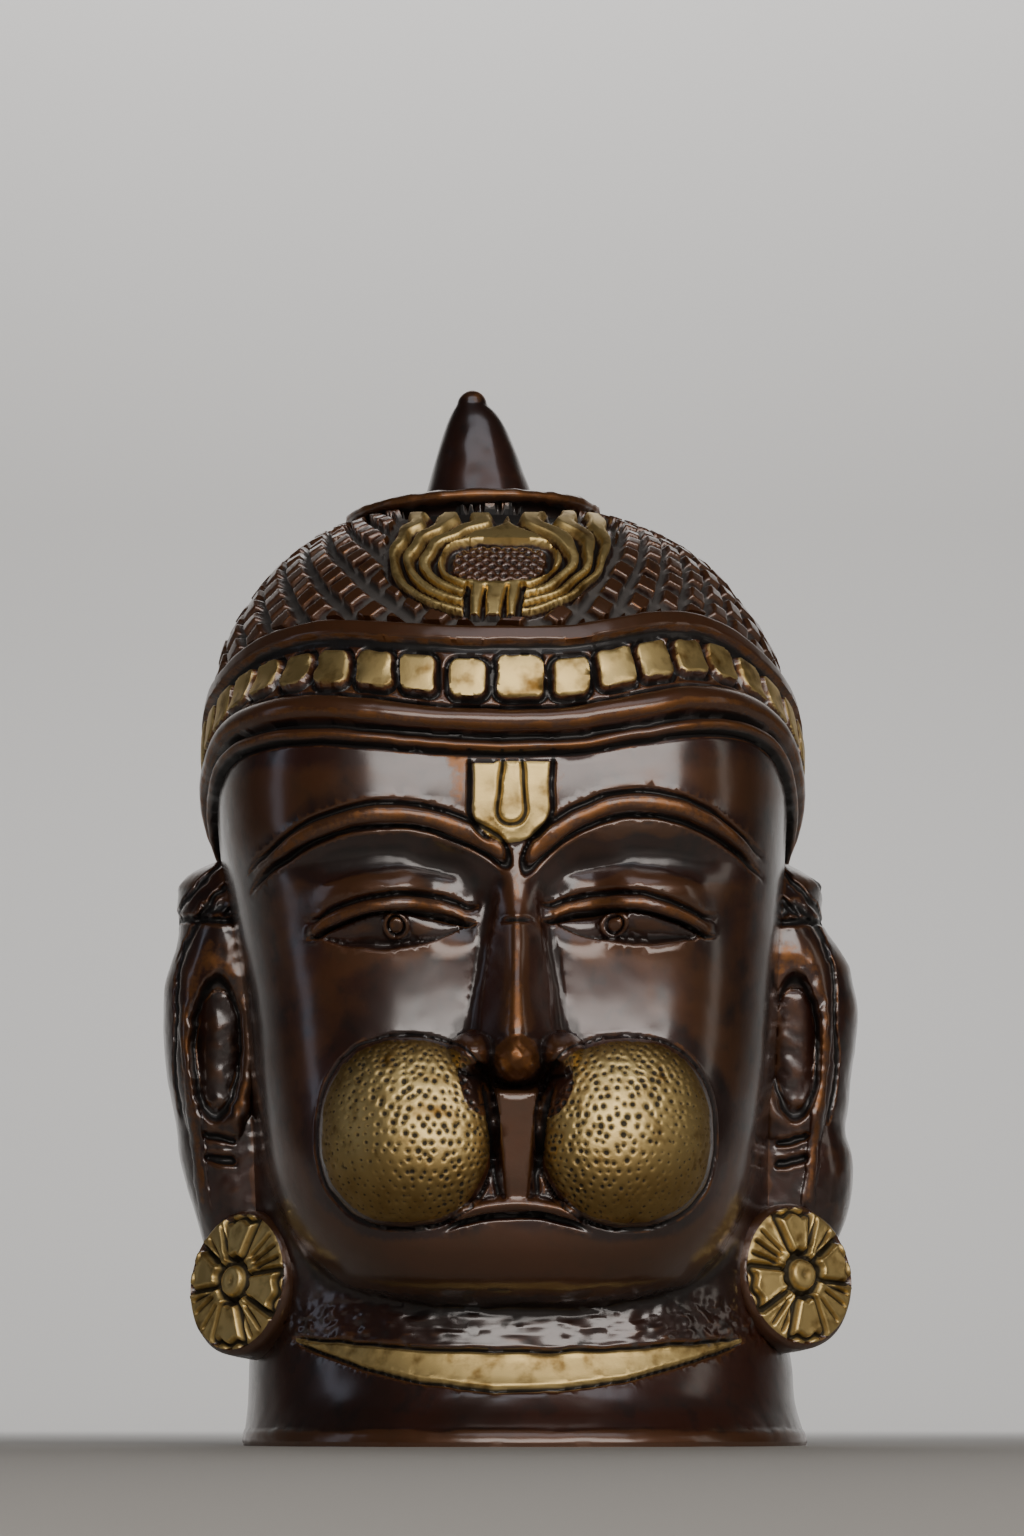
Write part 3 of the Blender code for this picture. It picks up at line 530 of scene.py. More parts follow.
def carveBand(marks, angle, up):
    here = (up > -14.2) & (up < headband["top"] + 0.6)
    low, high = headband["upperLow"], headband["upperTop"]
    rise = 1.9 * hump(up - headband["thin"], headband["thinWidth"])
    rise = np.maximum(rise, 3.1 * hump(up - headband["rim"], headband["rimWidth"] * 1.1) ** 0.8)
    channel = step(headband["channel"] - 0.5, headband["channel"] + 0.2, up)
    rise = np.where(channel > 0, np.maximum(rise * (1 - channel), 1.7 * channel), rise)
    upper = step(low - 0.35, low + 0.35, up) * step(high + 0.8, high - 0.5, up)
    upper = upper * (2.7 + 0.35 * hump(up - (low + high) / 2, 5.0))
    rise = np.where(up > low - 0.5, np.maximum(rise * step(8.0, 6.5, up), upper), rise)
    lay(marks, {"relief": rise, "gold": -4.0, "grime": -4.0}, here)
    # the row of squares, each a little different
    turn = np.degrees(angle) - headband["phase"]
    pitch, wider = headband["pitch"], headband["wider"]
    beyond = np.sign(turn) * (np.abs(turn) - wider) / pitch
    turn = np.where(np.abs(turn) < pitch + wider, turn / (pitch + wider), beyond)
    k = np.round(turn)
    along = (turn - k) * math.radians(pitch) * 56 + 0.5 * (chance(k, 5) - 0.5)
    lean = 0.12 * (chance(k, 6) - 0.5)
    wide = headband["half"] + 0.55 * (k == 0) + 0.45 * (chance(k, 7) - 0.5)
    tall = headband["half"] + 0.2 + 0.3 * (chance(k, 9) - 0.5)
    a = np.abs(along + lean * up) - wide
    b = np.abs(up - 0.5 * (chance(k, 8) - 0.5)) - tall
    square = roundedBox(a, b, 1.0 + 0.8 * chance(k, 10))
    square = square + 0.1 * np.sin(along * 1.3 + k) * np.sin(up * 1.2 + 2 * k)
    inRow = (np.abs(up) < 5.4) & (np.abs(angle) < 2.1)
    pillow = 0.12 * step(-0.1, -2.0, square)
    pillow = pillow + 0.05 * along * (chance(k, 15) - 0.5) + 0.05 * up * (chance(k, 16) - 0.5)
    raised = step(0.2, -0.12, square)
    moat = 0.9 * eased(1 - np.abs(square - 0.62) / 0.62)
    relief = marks["relief"] * (1 - raised) + raised * (2.75 + pillow) - moat
    lay(marks, {"relief": relief, "gold": np.maximum(marks["gold"], -square - 0.05)}, inRow)
    darken(marks, np.where(inRow, np.abs(square - 0.6) - 0.42, 4))
    for key, above, width in headband["lines"]:
        line = np.abs(up - headband[key] - above) - width / 2
        darken(marks, np.where(here, line, 4))
        marks["relief"] -= 0.35 * np.where(here, step(0.1, -0.4, line), 0)
    for key, above, width in headband["crests"]:
        wear(marks, np.where(here, 0.85 * hump(up - headband[key] - above, width), 0))


crown = {
    "round": 37,  # pads round the widest part
    "cell": 5.6,
    "shallow": 0.80,  # the two ways of the net don't cross evenly
    "steep": 1.22,
    "rise": 2.0,
    "low": 0.45,
    "high": 1.3,
    "fade": 9.0,
}
netPath = np.linspace(0, pathEnd, 400)
netRadius = np.maximum(readRows(skullPath, netPath)[2], 5.0)
netRise = np.cumsum(crown["round"] / (math.tau * netRadius)) * (netPath[1] - netPath[0])


def carveNet(marks, angle, path, where, wander):
    radius = readRows(skullPath, path)[2]
    turn = angle * crown["round"] / math.tau + 0.22 + 0.07 * wander
    rise = np.interp(path, netPath, netRise)
    first = crown["shallow"] * turn + rise
    second = crown["steep"] * turn - rise
    i, j = np.round(first - 0.5), np.round(second - 0.5)
    a, b = first - i - 0.5, second - j - 0.5  # -0.5 to 0.5 over one pad
    off = (0.5 - np.maximum(np.abs(a), np.abs(b))) * crown["cell"]
    key = i * 3.17 + j * 11.31
    wide = crown["high"] + 0.35 * (chance(key, 11) - 0.5)
    pad = step(crown["low"], wide, off)
    tilt = 0.9 * (a * (chance(key, 12) - 0.5) - b * (chance(key, 13) - 0.5))
    height = crown["rise"] + 0.35 * (chance(key, 14) - 0.5) + tilt
    height = height * pad * step(2, crown["fade"], radius)
    worn = 0.75 * step(0.3, 0.0, np.abs(off - wide))
    lay(marks, {"relief": height, "grime": 0.72 * wide - off, "worn": worn}, where)


lotus = {
    "shift": -2.1,
    "path": 23.9,  # from the middle of the squares to the boss's middle
    "low": 1.49,
    "neck": (10.4, 0.5),  # at the top the rings open out: where the first is, and how close they come
    "neckPath": 12.0,
    "top": 15.0,
    "bands": ((0.0, 10.6), (11.6, 13.7), (14.6, 16.4), (17.2, 18.9)),
    "boss": (8.3, 4.5),
    "stem": 3.9,
    "gap": 5.0,
    "foot": -12.6,
    "rise": 2.1,
    "cell": 2.3,  # of the net in its boss
}


def carveLotus(marks, x, up):
    aside = x - lotus["shift"] - 0.10 * (up - lotus["path"])  # it leans with the crown
    above = up - lotus["path"]
    low = np.hypot(aside, above * lotus["low"])
    narrow = step(-1.0, lotus["neckPath"], above)
    start, spread = lotus["neck"]
    high = np.abs(aside) * (1 - narrow) + (start + spread * np.abs(aside)) * narrow
    ring = np.where(above < 0, low, high)
    ring = ring + 0.22 * np.sin(above * 0.9 + aside * 0.5)
    gold = np.full(np.shape(x), -4.0)
    for start, end in lotus["bands"]:
        gold = np.maximum(gold, np.minimum(ring - start, end - ring))
    long, tall = lotus["boss"]
    boss = ((np.abs(aside) ** 3 + np.abs(above * long / tall) ** 3) ** (1 / 3) - long) * 0.75
    gold = np.minimum(gold, boss - 0.7)
    stem = lotus["stem"] - np.abs(aside) + 0.12 * (above - lotus["foot"]) * 0.3
    slits = np.minimum(np.abs(aside + 1.7), np.abs(aside - 1.9)) - 0.32 + 0.07 * (above + 10)
    below = (above < -5.2) & (above > lotus["foot"])
    inner = ring < lotus["bands"][0][1] - 1.0
    stemmed = np.where(np.abs(aside) < lotus["gap"], np.minimum(stem, slits), gold)
    gold = np.where(below & ~inner, stemmed, gold)
    gold = np.where((above > lotus["top"]) | (above < lotus["foot"]), -4, gold)
    here = (ring < 20.0) & (above < 26) & (above > -14.2)
    cell = lotus["cell"]
    nets = [np.abs(np.mod(aside + lean * above, cell) - cell / 2) for lean in (1.1, -1.1)]
    cells = np.minimum(*nets)
    studs = 1.1 * step(0.0, 0.7, 1.0 - cells) * step(0.1, -0.5, boss) * (boss < 0.2)
    shown = {
        "relief": lotus["rise"] * step(-0.25, 0.4, gold) + studs,
        "gold": np.maximum(gold, -4),
        "grime": np.where(boss < 0, cells - 0.7, -gold - 0.6),
        "line": np.where(boss < 0, 0.75 - cells, np.maximum(gold + 0.1, ring - 19.2)),
        "worn": 0.0,
    }
    lay(marks, shown, here)


def carve(angle, path):  # all marks of the head, from its place on the unrolled sheet
    x, forward, z = baseForm(angle, path)
    place = np.stack([x, forward, z], -1)
    wander = roughness3d(place, 7.0)
    waver = roughness3d(place + 300, 2.6, 1)
    marks = blankMarks(np.shape(x))
    faceX = x - head["faceAxis"] + 0.28 * wander + 0.07 * waver
    faceZ = z + 0.28 * roughness3d(place + 90, 8.0) - 0.07 * waver
    up = path - bandPath(angle)
    bandUp = up + 0.2 * wander + 0.04 * waver
    ahead = np.cos(angle) > 0.12
    onFace = ahead & (z > 26) & (up < -12)
    face = blankMarks(np.shape(x))
    for carver in (carveBrows, carveEyes, carveForehead, carveMuzzle, carveNose):
        carver(face, faceX, faceZ)
    lay(marks, face, onFace)
    neck = blankMarks(np.shape(x))
    carveNeck(neck, faceX - 0.3, faceZ)
    lay(marks, neck, ahead & (z < 22))
    carveBand(marks, angle, bandUp)
    onCrown = up > headband["top"]
    carveNet(marks, angle, path, onCrown, wander)
    shaped = {key: marks[key].copy() for key in marks}
    carveLotus(shaped, x + 0.2 * wander, up + 0.15 * waver)
    lay(marks, shaped, onCrown & (np.abs(angle) < 0.9))
    jaw = step(30, 22, z) * step(14, 20, z) * ahead  # rough chisel work under the chin
    marks["relief"] += 0.35 * jaw * roughness3d(place * (0.25, 1, 1.4), 2.2)
    marks["grime"] = np.maximum(marks["grime"], np.where(jaw > 0.4, 0.8 * waver - 0.3, -4))
    marks["relief"] += 0.05 * wander + 0.035 * waver
    marks["relief"] = np.where(z < 0.3, 0, marks["relief"])
    return marks


def headSheet(angle, path, marks):  # from the unrolled sheet to metres
    def at(angle, path):
        return np.stack(form(angle, path), -1)

    place = at(angle, path)
    roundIt = at(angle + 0.003, path) - at(angle - 0.003, path)
    upIt = at(angle, np.minimum(path + 0.15, pathEnd)) - at(angle, path - 0.15)
    normal = np.cross(roundIt, upIt)
    normal /= np.maximum(np.linalg.norm(normal, axis=-1, keepdims=True), 1e-9)
    outward = (normal * (place - (0, head["middle"], 80))).sum(-1, keepdims=True)
    normal = np.where(outward < 0, -normal, normal)
    return worldOf(place + normal * marks["relief"][..., None])


# Sheets: a flat grid, made finer where the carving needs it, then wrapped to its shape.
def sheetGrid(columns, rows):
    sheet = bmesh.new()
    bmesh.ops.create_grid(sheet, x_segments=columns, y_segments=rows, size=0.5)
    bmesh.ops.translate(sheet, verts=sheet.verts, vec=(0.5, 0.5, 0))
    return sheet


def sheetPlaces(sheet):
    return np.array([vert.co[:2] for vert in sheet.verts]).T


def refine(sheet, relief, tolerance, fine=None):
    # halves the faces whose middle is off the plane of their corners, and those where fine is true
    sheet.verts.index_update()
    s, t = sheetPlaces(sheet)
    heights = relief(s, t)
    faces = list(sheet.faces)
    middles = np.array([face.calc_center_median()[:2] for face in faces]).T
    corners = np.array([np.mean(heights[[v.index for v in face.verts]]) for face in faces])
    spread = np.array([np.ptp(heights[[v.index for v in face.verts]]) for face in faces])
    off = np.abs(relief(*middles) - corners) + 0.12 * spread
    off = off + fine(*middles) if fine else off
    chosen = [face for face, value in zip(faces, off) if value > tolerance]
    edges = list({edge for face in chosen for edge in face.edges})
    bmesh.ops.subdivide_edges(sheet, edges=edges, cuts=1, use_grid_fill=True)


def placed(name, data):  # a new object in the scene
    item = bpy.data.objects.new(name, data)
    bpy.context.scene.collection.objects.link(item)
    return item


def pieceOf(name, sheet, places, marks, inside=0.0):
    # the sheet at its places, closed, with its marks kept on its points
    layers = {key: sheet.verts.layers.float.new(key) for key in (*marks, "inside", "known")}
    values = {**marks, "inside": np.full(len(places), inside), "known": np.ones(len(places))}
    for i, vert in enumerate(sheet.verts):
        vert.co = places[i]
        for key, layer in layers.items():
            vert[layer] = values[key][i]
    bmesh.ops.remove_doubles(sheet, verts=sheet.verts, dist=1e-7)
    rims = [edge for edge in sheet.edges if edge.is_boundary]
    bmesh.ops.holes_fill(sheet, edges=rims, sides=0)
    bmesh.ops.triangulate(sheet, faces=sheet.faces)
    bmesh.ops.recalc_face_normals(sheet, faces=sheet.faces)
    mesh = bpy.data.meshes.new(name)
    sheet.to_mesh(mesh)
    sheet.free()
    return placed(name, mesh)


headGrid = {
    "columns": 200,
    "faceRows": 108,
    "crownRows": 44,
    "behind": 118.0,  # degrees: past this the sheet is behind the wall plane and is cut away
    "seam": 9.35,  # above the squares, in the groove where the crown meets the headband
    "steepShare": 0.3,  # of a feature's own rise, that counts as carving where the sheet is made finer
    "faceTolerances": (0.035, 0.07),
    "crownTolerances": (0.05, 0.11),
}


def angleAt(s):
    turn = headGrid["behind"]
    return np.radians(np.interp(s, (0, 0.09, 0.91, 1), (-180, -turn, turn, 180)))


def facePlace(s, t):  # angle, path, and how far the sheet has turned in to close itself
    cap = 1 / headGrid["faceRows"]
    angle = angleAt(s)
    top = bandPath(angle) + headGrid["seam"]
    share = np.clip(t / (1 - cap), 0, 1)
    return angle, -3.9 + share * (top + 3.9), np.clip((t - 1) / cap + 1, 0, 1)


def crownPlace(s, t):
    cap = 1 / headGrid["crownRows"]
    angle = angleAt(s)
    low = bandPath(angle) + headGrid["seam"]
    share = np.clip((t - cap) / (1 - cap), 0, 1)
    return angle, low + share * (pathEnd - 0.01 - low), np.clip(1 - t / cap, 0, 1)


def headPart(name, placing):
    sheet = sheetGrid(headGrid["columns"], headGrid[name + "Rows"])

    def relief(s, t):
        angle, path = placing(s, t)[:2]
        behind = np.abs(angle) > math.radians(headGrid["behind"])
        steep = form(angle, path)[1] - baseForm(angle, path)[1]
        return np.where(behind, 0, carve(angle, path)["relief"] + headGrid["steepShare"] * steep)

    def closeWork(s, t):  # the muzzle and the collar's edges, so that no dot or line is missed
        x, _, z = baseForm(*placing(s, t)[:2])
        x = x - head["faceAxis"]
        muzzle = padPlace(x, z) < 1.1
        top, bottom = collarEdges(x)
        edges = (np.minimum(np.abs(z - top), np.abs(z - bottom)) < 1.0) & (np.abs(x) < collar["half"])
        return (muzzle | edges) & (np.abs(s - 0.5) < 0.25)

    for tolerance in headGrid[name + "Tolerances"]:
        refine(sheet, relief, tolerance, closeWork)
    angle, path, closing = placing(*sheetPlaces(sheet))
    marks = carve(angle, path)
    places = headSheet(angle, path, marks)
    centre = worldOf((-2.0, head["middle"], 124.0))
    places = places + (centre - places) * closing[:, None]
    return pieceOf(name, sheet, places, marks)


ear = {
    # height, outer edge from the middle of the head, left and right
    "edge": (
        (18.0, 50.2, 50.3),
        (30.0, 53.7, 54.3),
        (36.0, 55.4, 58.3),
        (41.0, 56.8, 60.4),
        (46.0, 58.4, 61.4),
        (52.0, 59.9, 61.3),
        (56.0, 60.3, 60.2),
        (60.0, 61.0, 60.7),
        (66.0, 62.2, 61.3),
        (72.0, 62.8, 62.2),
        (78.0, 62.9, 62.6),
        (83.0, 62.6, 61.7),
        (86.0, 61.7, 61.0),
        (89.0, 60.7, 59.2),
        (92.0, 60.2, 57.0),
        (95.0, 60.2, 55.8),
        (98.5, 60.1, 55.9),
        (101.0, 59.8, 55.7),
        (103.0, 57.6, 52.5),
        (104.8, 53.5, 49.3),
        (106.0, 49.2, 47.3),
    ),
    "root": 41.0,
    "front": 24.0,
    "behind": 5.0,
    "low": 19.0,
    "high": 105.5,
    "aside": {-1: 52.4, 1: 50.3},  # the middle of the looped rim
    "loop": {"height": 70.2, "half": 5.8, "tall": 16.6, "width": 2.8},
    "notches": ((54.2, 1.6), (50.6, 2.0)),  # height and width of the cuts over the earring
    "outside": 0.86,  # the share of a row that runs from the front round the outside
    "back": 0.07,  # the share that runs along the back
    "columns": 60,
    "rows": 90,
    "tolerances": (0.05, 0.08),
    "cutter": {"columns": 24, "rows": 30, "low": 47.0, "high": 92.0},  # of the hollow inside
}


def carveEar(marks, x, z, aside):
    loop = ear["loop"]
    place = np.hypot((x - aside) / loop["half"], (z - loop["height"]) / loop["tall"])
    off = (place - 1) * loop["half"]
    thick = loop["width"] * (1 + 0.8 * step(74, 86, z))
    rim = hump(off, thick) * step(52, 58, z)
    marks["relief"] += 2.0 * rim
    wear(marks, 0.62 * step(0.8, 1.0, rim))
    well = step(-1.0, -2.2, off)
    marks["relief"] -= 3.2 * well
    tongue = hump(x - aside + 0.05 * (z - loop["height"]), 8.2) * step(56, 61, z) * step(84, 79, z)
    marks["relief"] += 2.4 * tongue * well
    cutLine(marks, off + 1.6, 0.9, 0.6, step(55, 58, z))
    cutLine(marks, off - thick / 2 - 0.4, 1.0, 0.8, step(56, 60, z))
    tuft = step(92.5, 94.5, z)
    lines = np.mod(z * 0.6 + x * 0.7, 3.6) - 1.8
    marks["relief"] += 1.4 * tuft * hump(z - 98.5, 13)
    cutLine(marks, lines, 1.3, 1.1, tuft)
    cutLine(marks, z - 92.6 - 0.12 * (x - 50), 1.6, 1.5, 1.0 * (x > 44))
    lobe = step(57, 55, z) * step(40, 42, z) * step(-4.0, -3.0, x - aside) * step(2.6, 1.4, x - aside)
    for height, tall in ear["notches"]:
        cutLine(marks, z - height - 0.2 * (x - 52), tall, 1.3, lobe)
    strand = x - aside - 4.6 + 0.10 * (66 - z)  # a worn edge that runs down to the earring
    tall = step(40, 44, z) * step(80, 74, z)
    wear(marks, 0.7 * hump(strand, 1.7) * tall)
    marks["relief"] += 0.7 * hump(strand, 2.6) * tall


def earSheet(side, inset=0.0):
    size = ear["cutter"] if inset else ear
    sheet = sheetGrid(size["columns"], size["rows"])
    low, high = size["low"], size["high"]
    root = ear["root"] - 2 * inset
    outside, back = ear["outside"], ear["back"]

    def section(s, t):  # outwards, forward, up, and how much the surface faces forward
        z = low + (high - low) * t
        around = np.radians(np.clip(s / outside, 0, 1) * 90)
        reach = readRows(ear["edge"], z)[(side + 1) // 2] - inset - root
        out = root + reach * np.sin(around) ** 0.62
        front = (ear["front"] - inset) * (1 - 0.35 * step(92, 106, z)) * (1 - 0.25 * step(40, 20, z))
        forward = (front + ear["behind"]) * np.maximum(np.cos(around), 0) ** 0.42 - ear["behind"]
        out = out + (root - out) * np.clip((s - outside) / back, 0, 1)
        forward = forward + (front - forward) * np.clip((s - outside - back) / back, 0, 1)
        return out, forward, z, np.cos(around) * (s <= outside)

    def marksAt(s, t):
        out, forward, z, frontal = section(s, t)
        marks = blankMarks(np.shape(s))
        wander = roughness3d(np.stack([out * side, forward, z], -1) + 500, 3.2)
        if not inset:
            carveEar(marks, out + 0.35 * wander, z + 0.35 * wander, ear["aside"][side])
            marks["relief"] = marks["relief"] * (frontal > 0.12)
        marks["relief"] += 0.2 * wander
        return marks

    if not inset:
        for tolerance in ear["tolerances"]:
            refine(sheet, lambda s, t: np.where(s < outside, marksAt(s, t)["relief"], 0), tolerance)
    s, t = sheetPlaces(sheet)
    out, forward, z, frontal = section(s, t)
    marks = marksAt(s, t)
    out = out + marks["relief"] * 0.35 * (1 - frontal) * (s < outside)
    forward = forward + marks["relief"] * frontal
    places = worldOf(np.stack([side * out, forward, z], -1))
    return pieceOf("ear", sheet, places, marks, 1.0 if inset else 0.0)


earring = {
    "radius": 12.9,
    "thickness": 9.0,
    # aside, height and turn of each
    -1: (48.4, 28.7, 45.0),
    1: (50.7, 29.8, 38.0),
    "forward": 29.0,
    "lift": 7.0,
    "unrest": 0.12,
    "boss": 2.7,
    "petal": {
        "turns": (6, -4, 5, -6),  # degrees off the cross
        "middle": 7.4,
        "long": 3.3,
        "start": 4.2,
        "half": 1.8,
        "widens": 0.32,
        "corner": 1.1,
    },
    "columns": 120,
    "rows": 60,
    "tolerances": (0.05, 0.08),
}


def carveEarring(marks, across, up, radius):
    petal = earring["petal"]
    for k, turned in enumerate(petal["turns"]):
        direction = math.radians(90 * k + turned)
        along = across * math.cos(direction) + up * math.sin(direction)
        beside = -across * math.sin(direction) + up * math.cos(direction)
        half = petal["half"] + petal["widens"] * (along - petal["start"])
        off = np.abs(along - petal["middle"] - 0.45 * np.cos(beside * 1.5)) - petal["long"]
        off = roundedBox(off, np.abs(beside) - half, petal["corner"])
        marks["relief"] += 0.45 * step(0.2, -0.9, off)
        cutLine(marks, off - 0.35, 1.5, 1.1)
        for bend in (31, 45, 59):  # three cuts between each two petals
            ray = direction + math.radians(bend + 2 * ((k * 7 + bend) % 3 - 1))
            length = across * math.cos(ray) + up * math.sin(ray)
            off = -across * math.sin(ray) + up * math.cos(ray)
            cutLine(marks, off, 0.95, 0.9, step(5.2, 6.4, length) * step(11.9, 10.6, length))
    cutLine(marks, radius - earring["boss"] - 0.7, 1.8, 1.2)
    marks["relief"] += 0.7 * hump(radius, 2 * earring["boss"])
    polish(marks, earring["radius"] - 0.9 - radius)
    wear(marks, 0.8 * step(earring["radius"] - 1.6, earring["radius"] - 0.4, radius))


def turnedSheet(name, size, profile, centre, axis, carver, unrest=0.0):
    # a grid turned about an axis, from rows of radius and height that run from its top to its foot
    sheet = sheetGrid(size["columns"], size["rows"])
    axis = Vector(axis).normalized()
    across = Vector((0, 1, 0) if abs(axis.y) < 0.9 else (1, 0, 0)).cross(axis).normalized()
    upwards = np.array(axis.cross(across))
    axis, across = np.array(axis), np.array(across)
    profile = np.array(profile, float)
    runs = np.concatenate([[0], np.cumsum(np.hypot(*np.diff(profile, axis=0).T))])
    runs /= runs[-1]
    slope = np.gradient(profile, runs, axis=0)
    facing = np.column_stack([-slope[:, 1], slope[:, 0]]) / np.hypot(*slope.T)[:, None]

    def at(s, t):
        turn = s * math.tau
        radius, height = np.interp(t, runs, profile[:, 0]), np.interp(t, runs, profile[:, 1])
        outwards, upward = np.interp(t, runs, facing[:, 0]), np.interp(t, runs, facing[:, 1])
        spoke = np.cos(turn)[..., None] * across + np.sin(turn)[..., None] * upwards
        marks = blankMarks(np.shape(s))
        carver(marks, radius * np.cos(turn), radius * np.sin(turn), radius, t)
        spot = centre + radius[..., None] * spoke + height[..., None] * axis
        marks["relief"] += unrest * roughness3d(spot + 700, 5.0) * step(0, 2, radius)
        facingOut = outwards[..., None] * spoke + upward[..., None] * axis
        return spot + marks["relief"][..., None] * facingOut * step(0, 0.8, radius)[..., None], marks

    for tolerance in size["tolerances"]:
        refine(sheet, lambda s, t: at(s, t)[1]["relief"], tolerance)
    spot, marks = at(*sheetPlaces(sheet))
    return pieceOf(name, sheet, worldOf(spot), marks)


def makeEarring(side):
    aside, height, degrees = earring[side]
    turn, lift = math.radians(degrees), math.radians(earring["lift"])
    axis = (side * math.sin(turn) * math.cos(lift), math.cos(turn) * math.cos(lift), math.sin(lift))
    r, thick = earring["radius"], earring["thickness"]
    face = [(radius, thick + 1.0 - (radius / r) ** 2) for radius in np.linspace(0, r - 1.2, 16)]
    body = [(r - 0.5, thick - 0.5), (r, thick - 1.3), (r, 1.0), (r * 0.9, -3.0), (r * 0.55, -12.0), (0, -20)]
    centre = np.array((side * aside, earring["forward"], height)) - np.array(axis) * thick
    faced = (r - 0.7) / sum(math.dist(a, b) for a, b in zip(face + body, (face + body)[1:]))

    def carver(marks, across, up, radius, t):
        shaped = blankMarks(np.shape(t))
        carveEarring(shaped, across * side, up, radius)
        for key in marks:
            marks[key][...] = np.where(t < faced, shaped[key], marks[key])

    return turnedSheet("earring", earring, face + body, centre, axis, carver, earring["unrest"])


disc = {
    "centre": (-7.0, 12.0, 167.2),
    "axis": (-0.036, -0.03, 1.0),
    "radius": 23.1,
    "thickness": 2.2,
    "columns": 160,
    "rows": 60,
    "tolerances": (0.08,),
}


def makeDisc():
    r, thick = disc["radius"], disc["thickness"]
    top = [(0, thick + 0.25), (8, thick), (r - 1.5, thick - 1.0)]
    top += [(r - 0.5, thick - 1.55), (r - 0.15, thick * 0.2)]
    under = [(r - 0.2, -0.6), (r - 0.9, -1.2), (r - 2.2, -1.6), (r - 3.2, -2.2), (r - 3.4, -8), (0, -9)]

    def carver(marks, across, up, radius, t):
        dents = roughness3d(np.stack([across, up, 0 * up], -1), 4.0)
        marks["relief"] += 0.32 * dents * step(r - 5, r - 1, radius)
        wear(marks, 0.85 * step(r - 0.75, r - 0.2, radius + 0.1 * dents))
        marks["grime"] = np.where((radius > 2) & (t > 0.55), 0.4 + 0.5 * dents, -4)

    return turnedSheet("disc", disc, top + under, disc["centre"], disc["axis"], carver)


finial = {
    "base": (-6.2, 12.0, 166.8),
    "axis": (-0.045, 0.0, 1.0),
    # height, radius
    "shape": (
        (-2, 11.1),
        (0, 10.6),
        (5.6, 8.9),
        (10.0, 7.5),
        (14.4, 6.1),
        (16.6, 5.2),
        (18.8, 4.2),
        (21.2, 2.75),
    ),
    "tip": (23.75, 2.7),
    "bulge": 0.7,  # its right side is fuller
    "columns": 96,
    "rows": 90,
    "tolerances": (),
}


def makeFinial():
    tall, blunt = finial["tip"]
    turns = np.radians(np.linspace(0, 78, 9))
    dome = [(blunt * math.sin(turn), tall - blunt * (1 - math.cos(turn))) for turn in turns]
    heights = np.linspace(finial["shape"][-1][0], finial["shape"][0][0], 28)
    side = list(zip(readRows(finial["shape"], heights)[0], heights))

    def carver(marks, across, up, radius, t):
        dents = roughness3d(np.stack([across, up, t * 30], -1) + 60, 6.0)
        fuller = np.clip(across / np.maximum(radius, 1), 0, 1)
        marks["relief"] += 0.14 * dents + finial["bulge"] * hump(t - 0.42, 0.6) * fuller
        wear(marks, 0.75 * step(0.16, 0.02, t) + 0.2 * step(0.3, 0.9, dents))

    profile = dome + side + [(0, finial["shape"][0][0])]
    return turnedSheet("finial", finial, profile, finial["base"], finial["axis"], carver)


hollow = {
    "columns": 110,
    "rows": 60,
    "low": -5.0,
    "lower": 90.0,  # the top of the hollow drops by the wall's thickness along this much path
    "end": 12.0,
    # the space behind each muzzle pad and behind the nose: deep, half, tall
    "pad": (8.6, 11.8, 12.6),
    "nose": (6.8, 5.0, 11.0, 71.0),
    "unrest": 0.3,
}


def makeHollow():
    sheet = sheetGrid(hollow["columns"], hollow["rows"])
    s, t = sheetPlaces(sheet)
    angle = (s * 2 - 1) * math.pi
    path = t * (pathEnd - hollow["end"])
    wall = head["wall"]
    x, forward, z = baseForm(angle, path, wall)
    faceX = x - head["faceAxis"]
    deep, half, tall = hollow["pad"]
    padRoom = deep * hump(np.hypot((np.abs(faceX) - pads["aside"]) / half, (z - pads["height"]) / tall), 2)
    deep, half, tall, height = hollow["nose"]
    noseRoom = deep * hump(np.hypot(faceX / half, (z - height) / tall), 2)
    forward = forward + np.maximum(padRoom, noseRoom) * (np.cos(angle) > 0.3)
    z = z - wall * step(pathEnd - hollow["lower"], pathEnd - hollow["end"], path)
    place = np.stack([x, forward, np.where(t == 0, hollow["low"], z)], -1)
    rough = hollow["unrest"] * roughness3d(place, 4.0, 3)
    outward = place - (0, head["middle"], 80)
    outward /= np.linalg.norm(outward, axis=1, keepdims=True)
    place = place + outward * rough[:, None] * (t > 0)[:, None]
    return pieceOf("hollow", sheet, worldOf(place), blankMarks(np.shape(s)), 1.0)


def makeBlock(name, low, high):
    sheet = bmesh.new()
    bmesh.ops.create_cube(sheet, size=1.0)
    low, high = np.array(low), np.array(high)
    places = (low + high) / 2 + np.array([vert.co[:] for vert in sheet.verts]) * (high - low)
    return pieceOf(name, sheet, places, blankMarks(len(places)), 0.6)


def boolean(piece, operation, others):  # every tool is closed, which this solver asks for
    for other in others:
        change = piece.modifiers.new(operation, "BOOLEAN")
        change.operation, change.solver, change.object = operation, "MANIFOLD", other
    graph = bpy.context.evaluated_depsgraph_get()
    made = bpy.data.meshes.new_from_object(piece.evaluated_get(graph))
    piece.modifiers.clear()
    sheet = bmesh.new()
    sheet.from_mesh(made)
    bmesh.ops.triangulate(sheet, faces=sheet.faces)
    sheet.to_mesh(made)
    sheet.free()
    piece.data = made


def fetched(items, key, each=1, kind=np.float32):  # one value of each item, or a row of them
    values = np.empty(len(items) * each, kind)
    items.foreach_get(key, values)
    return values if each == 1 else values.reshape(-1, each)


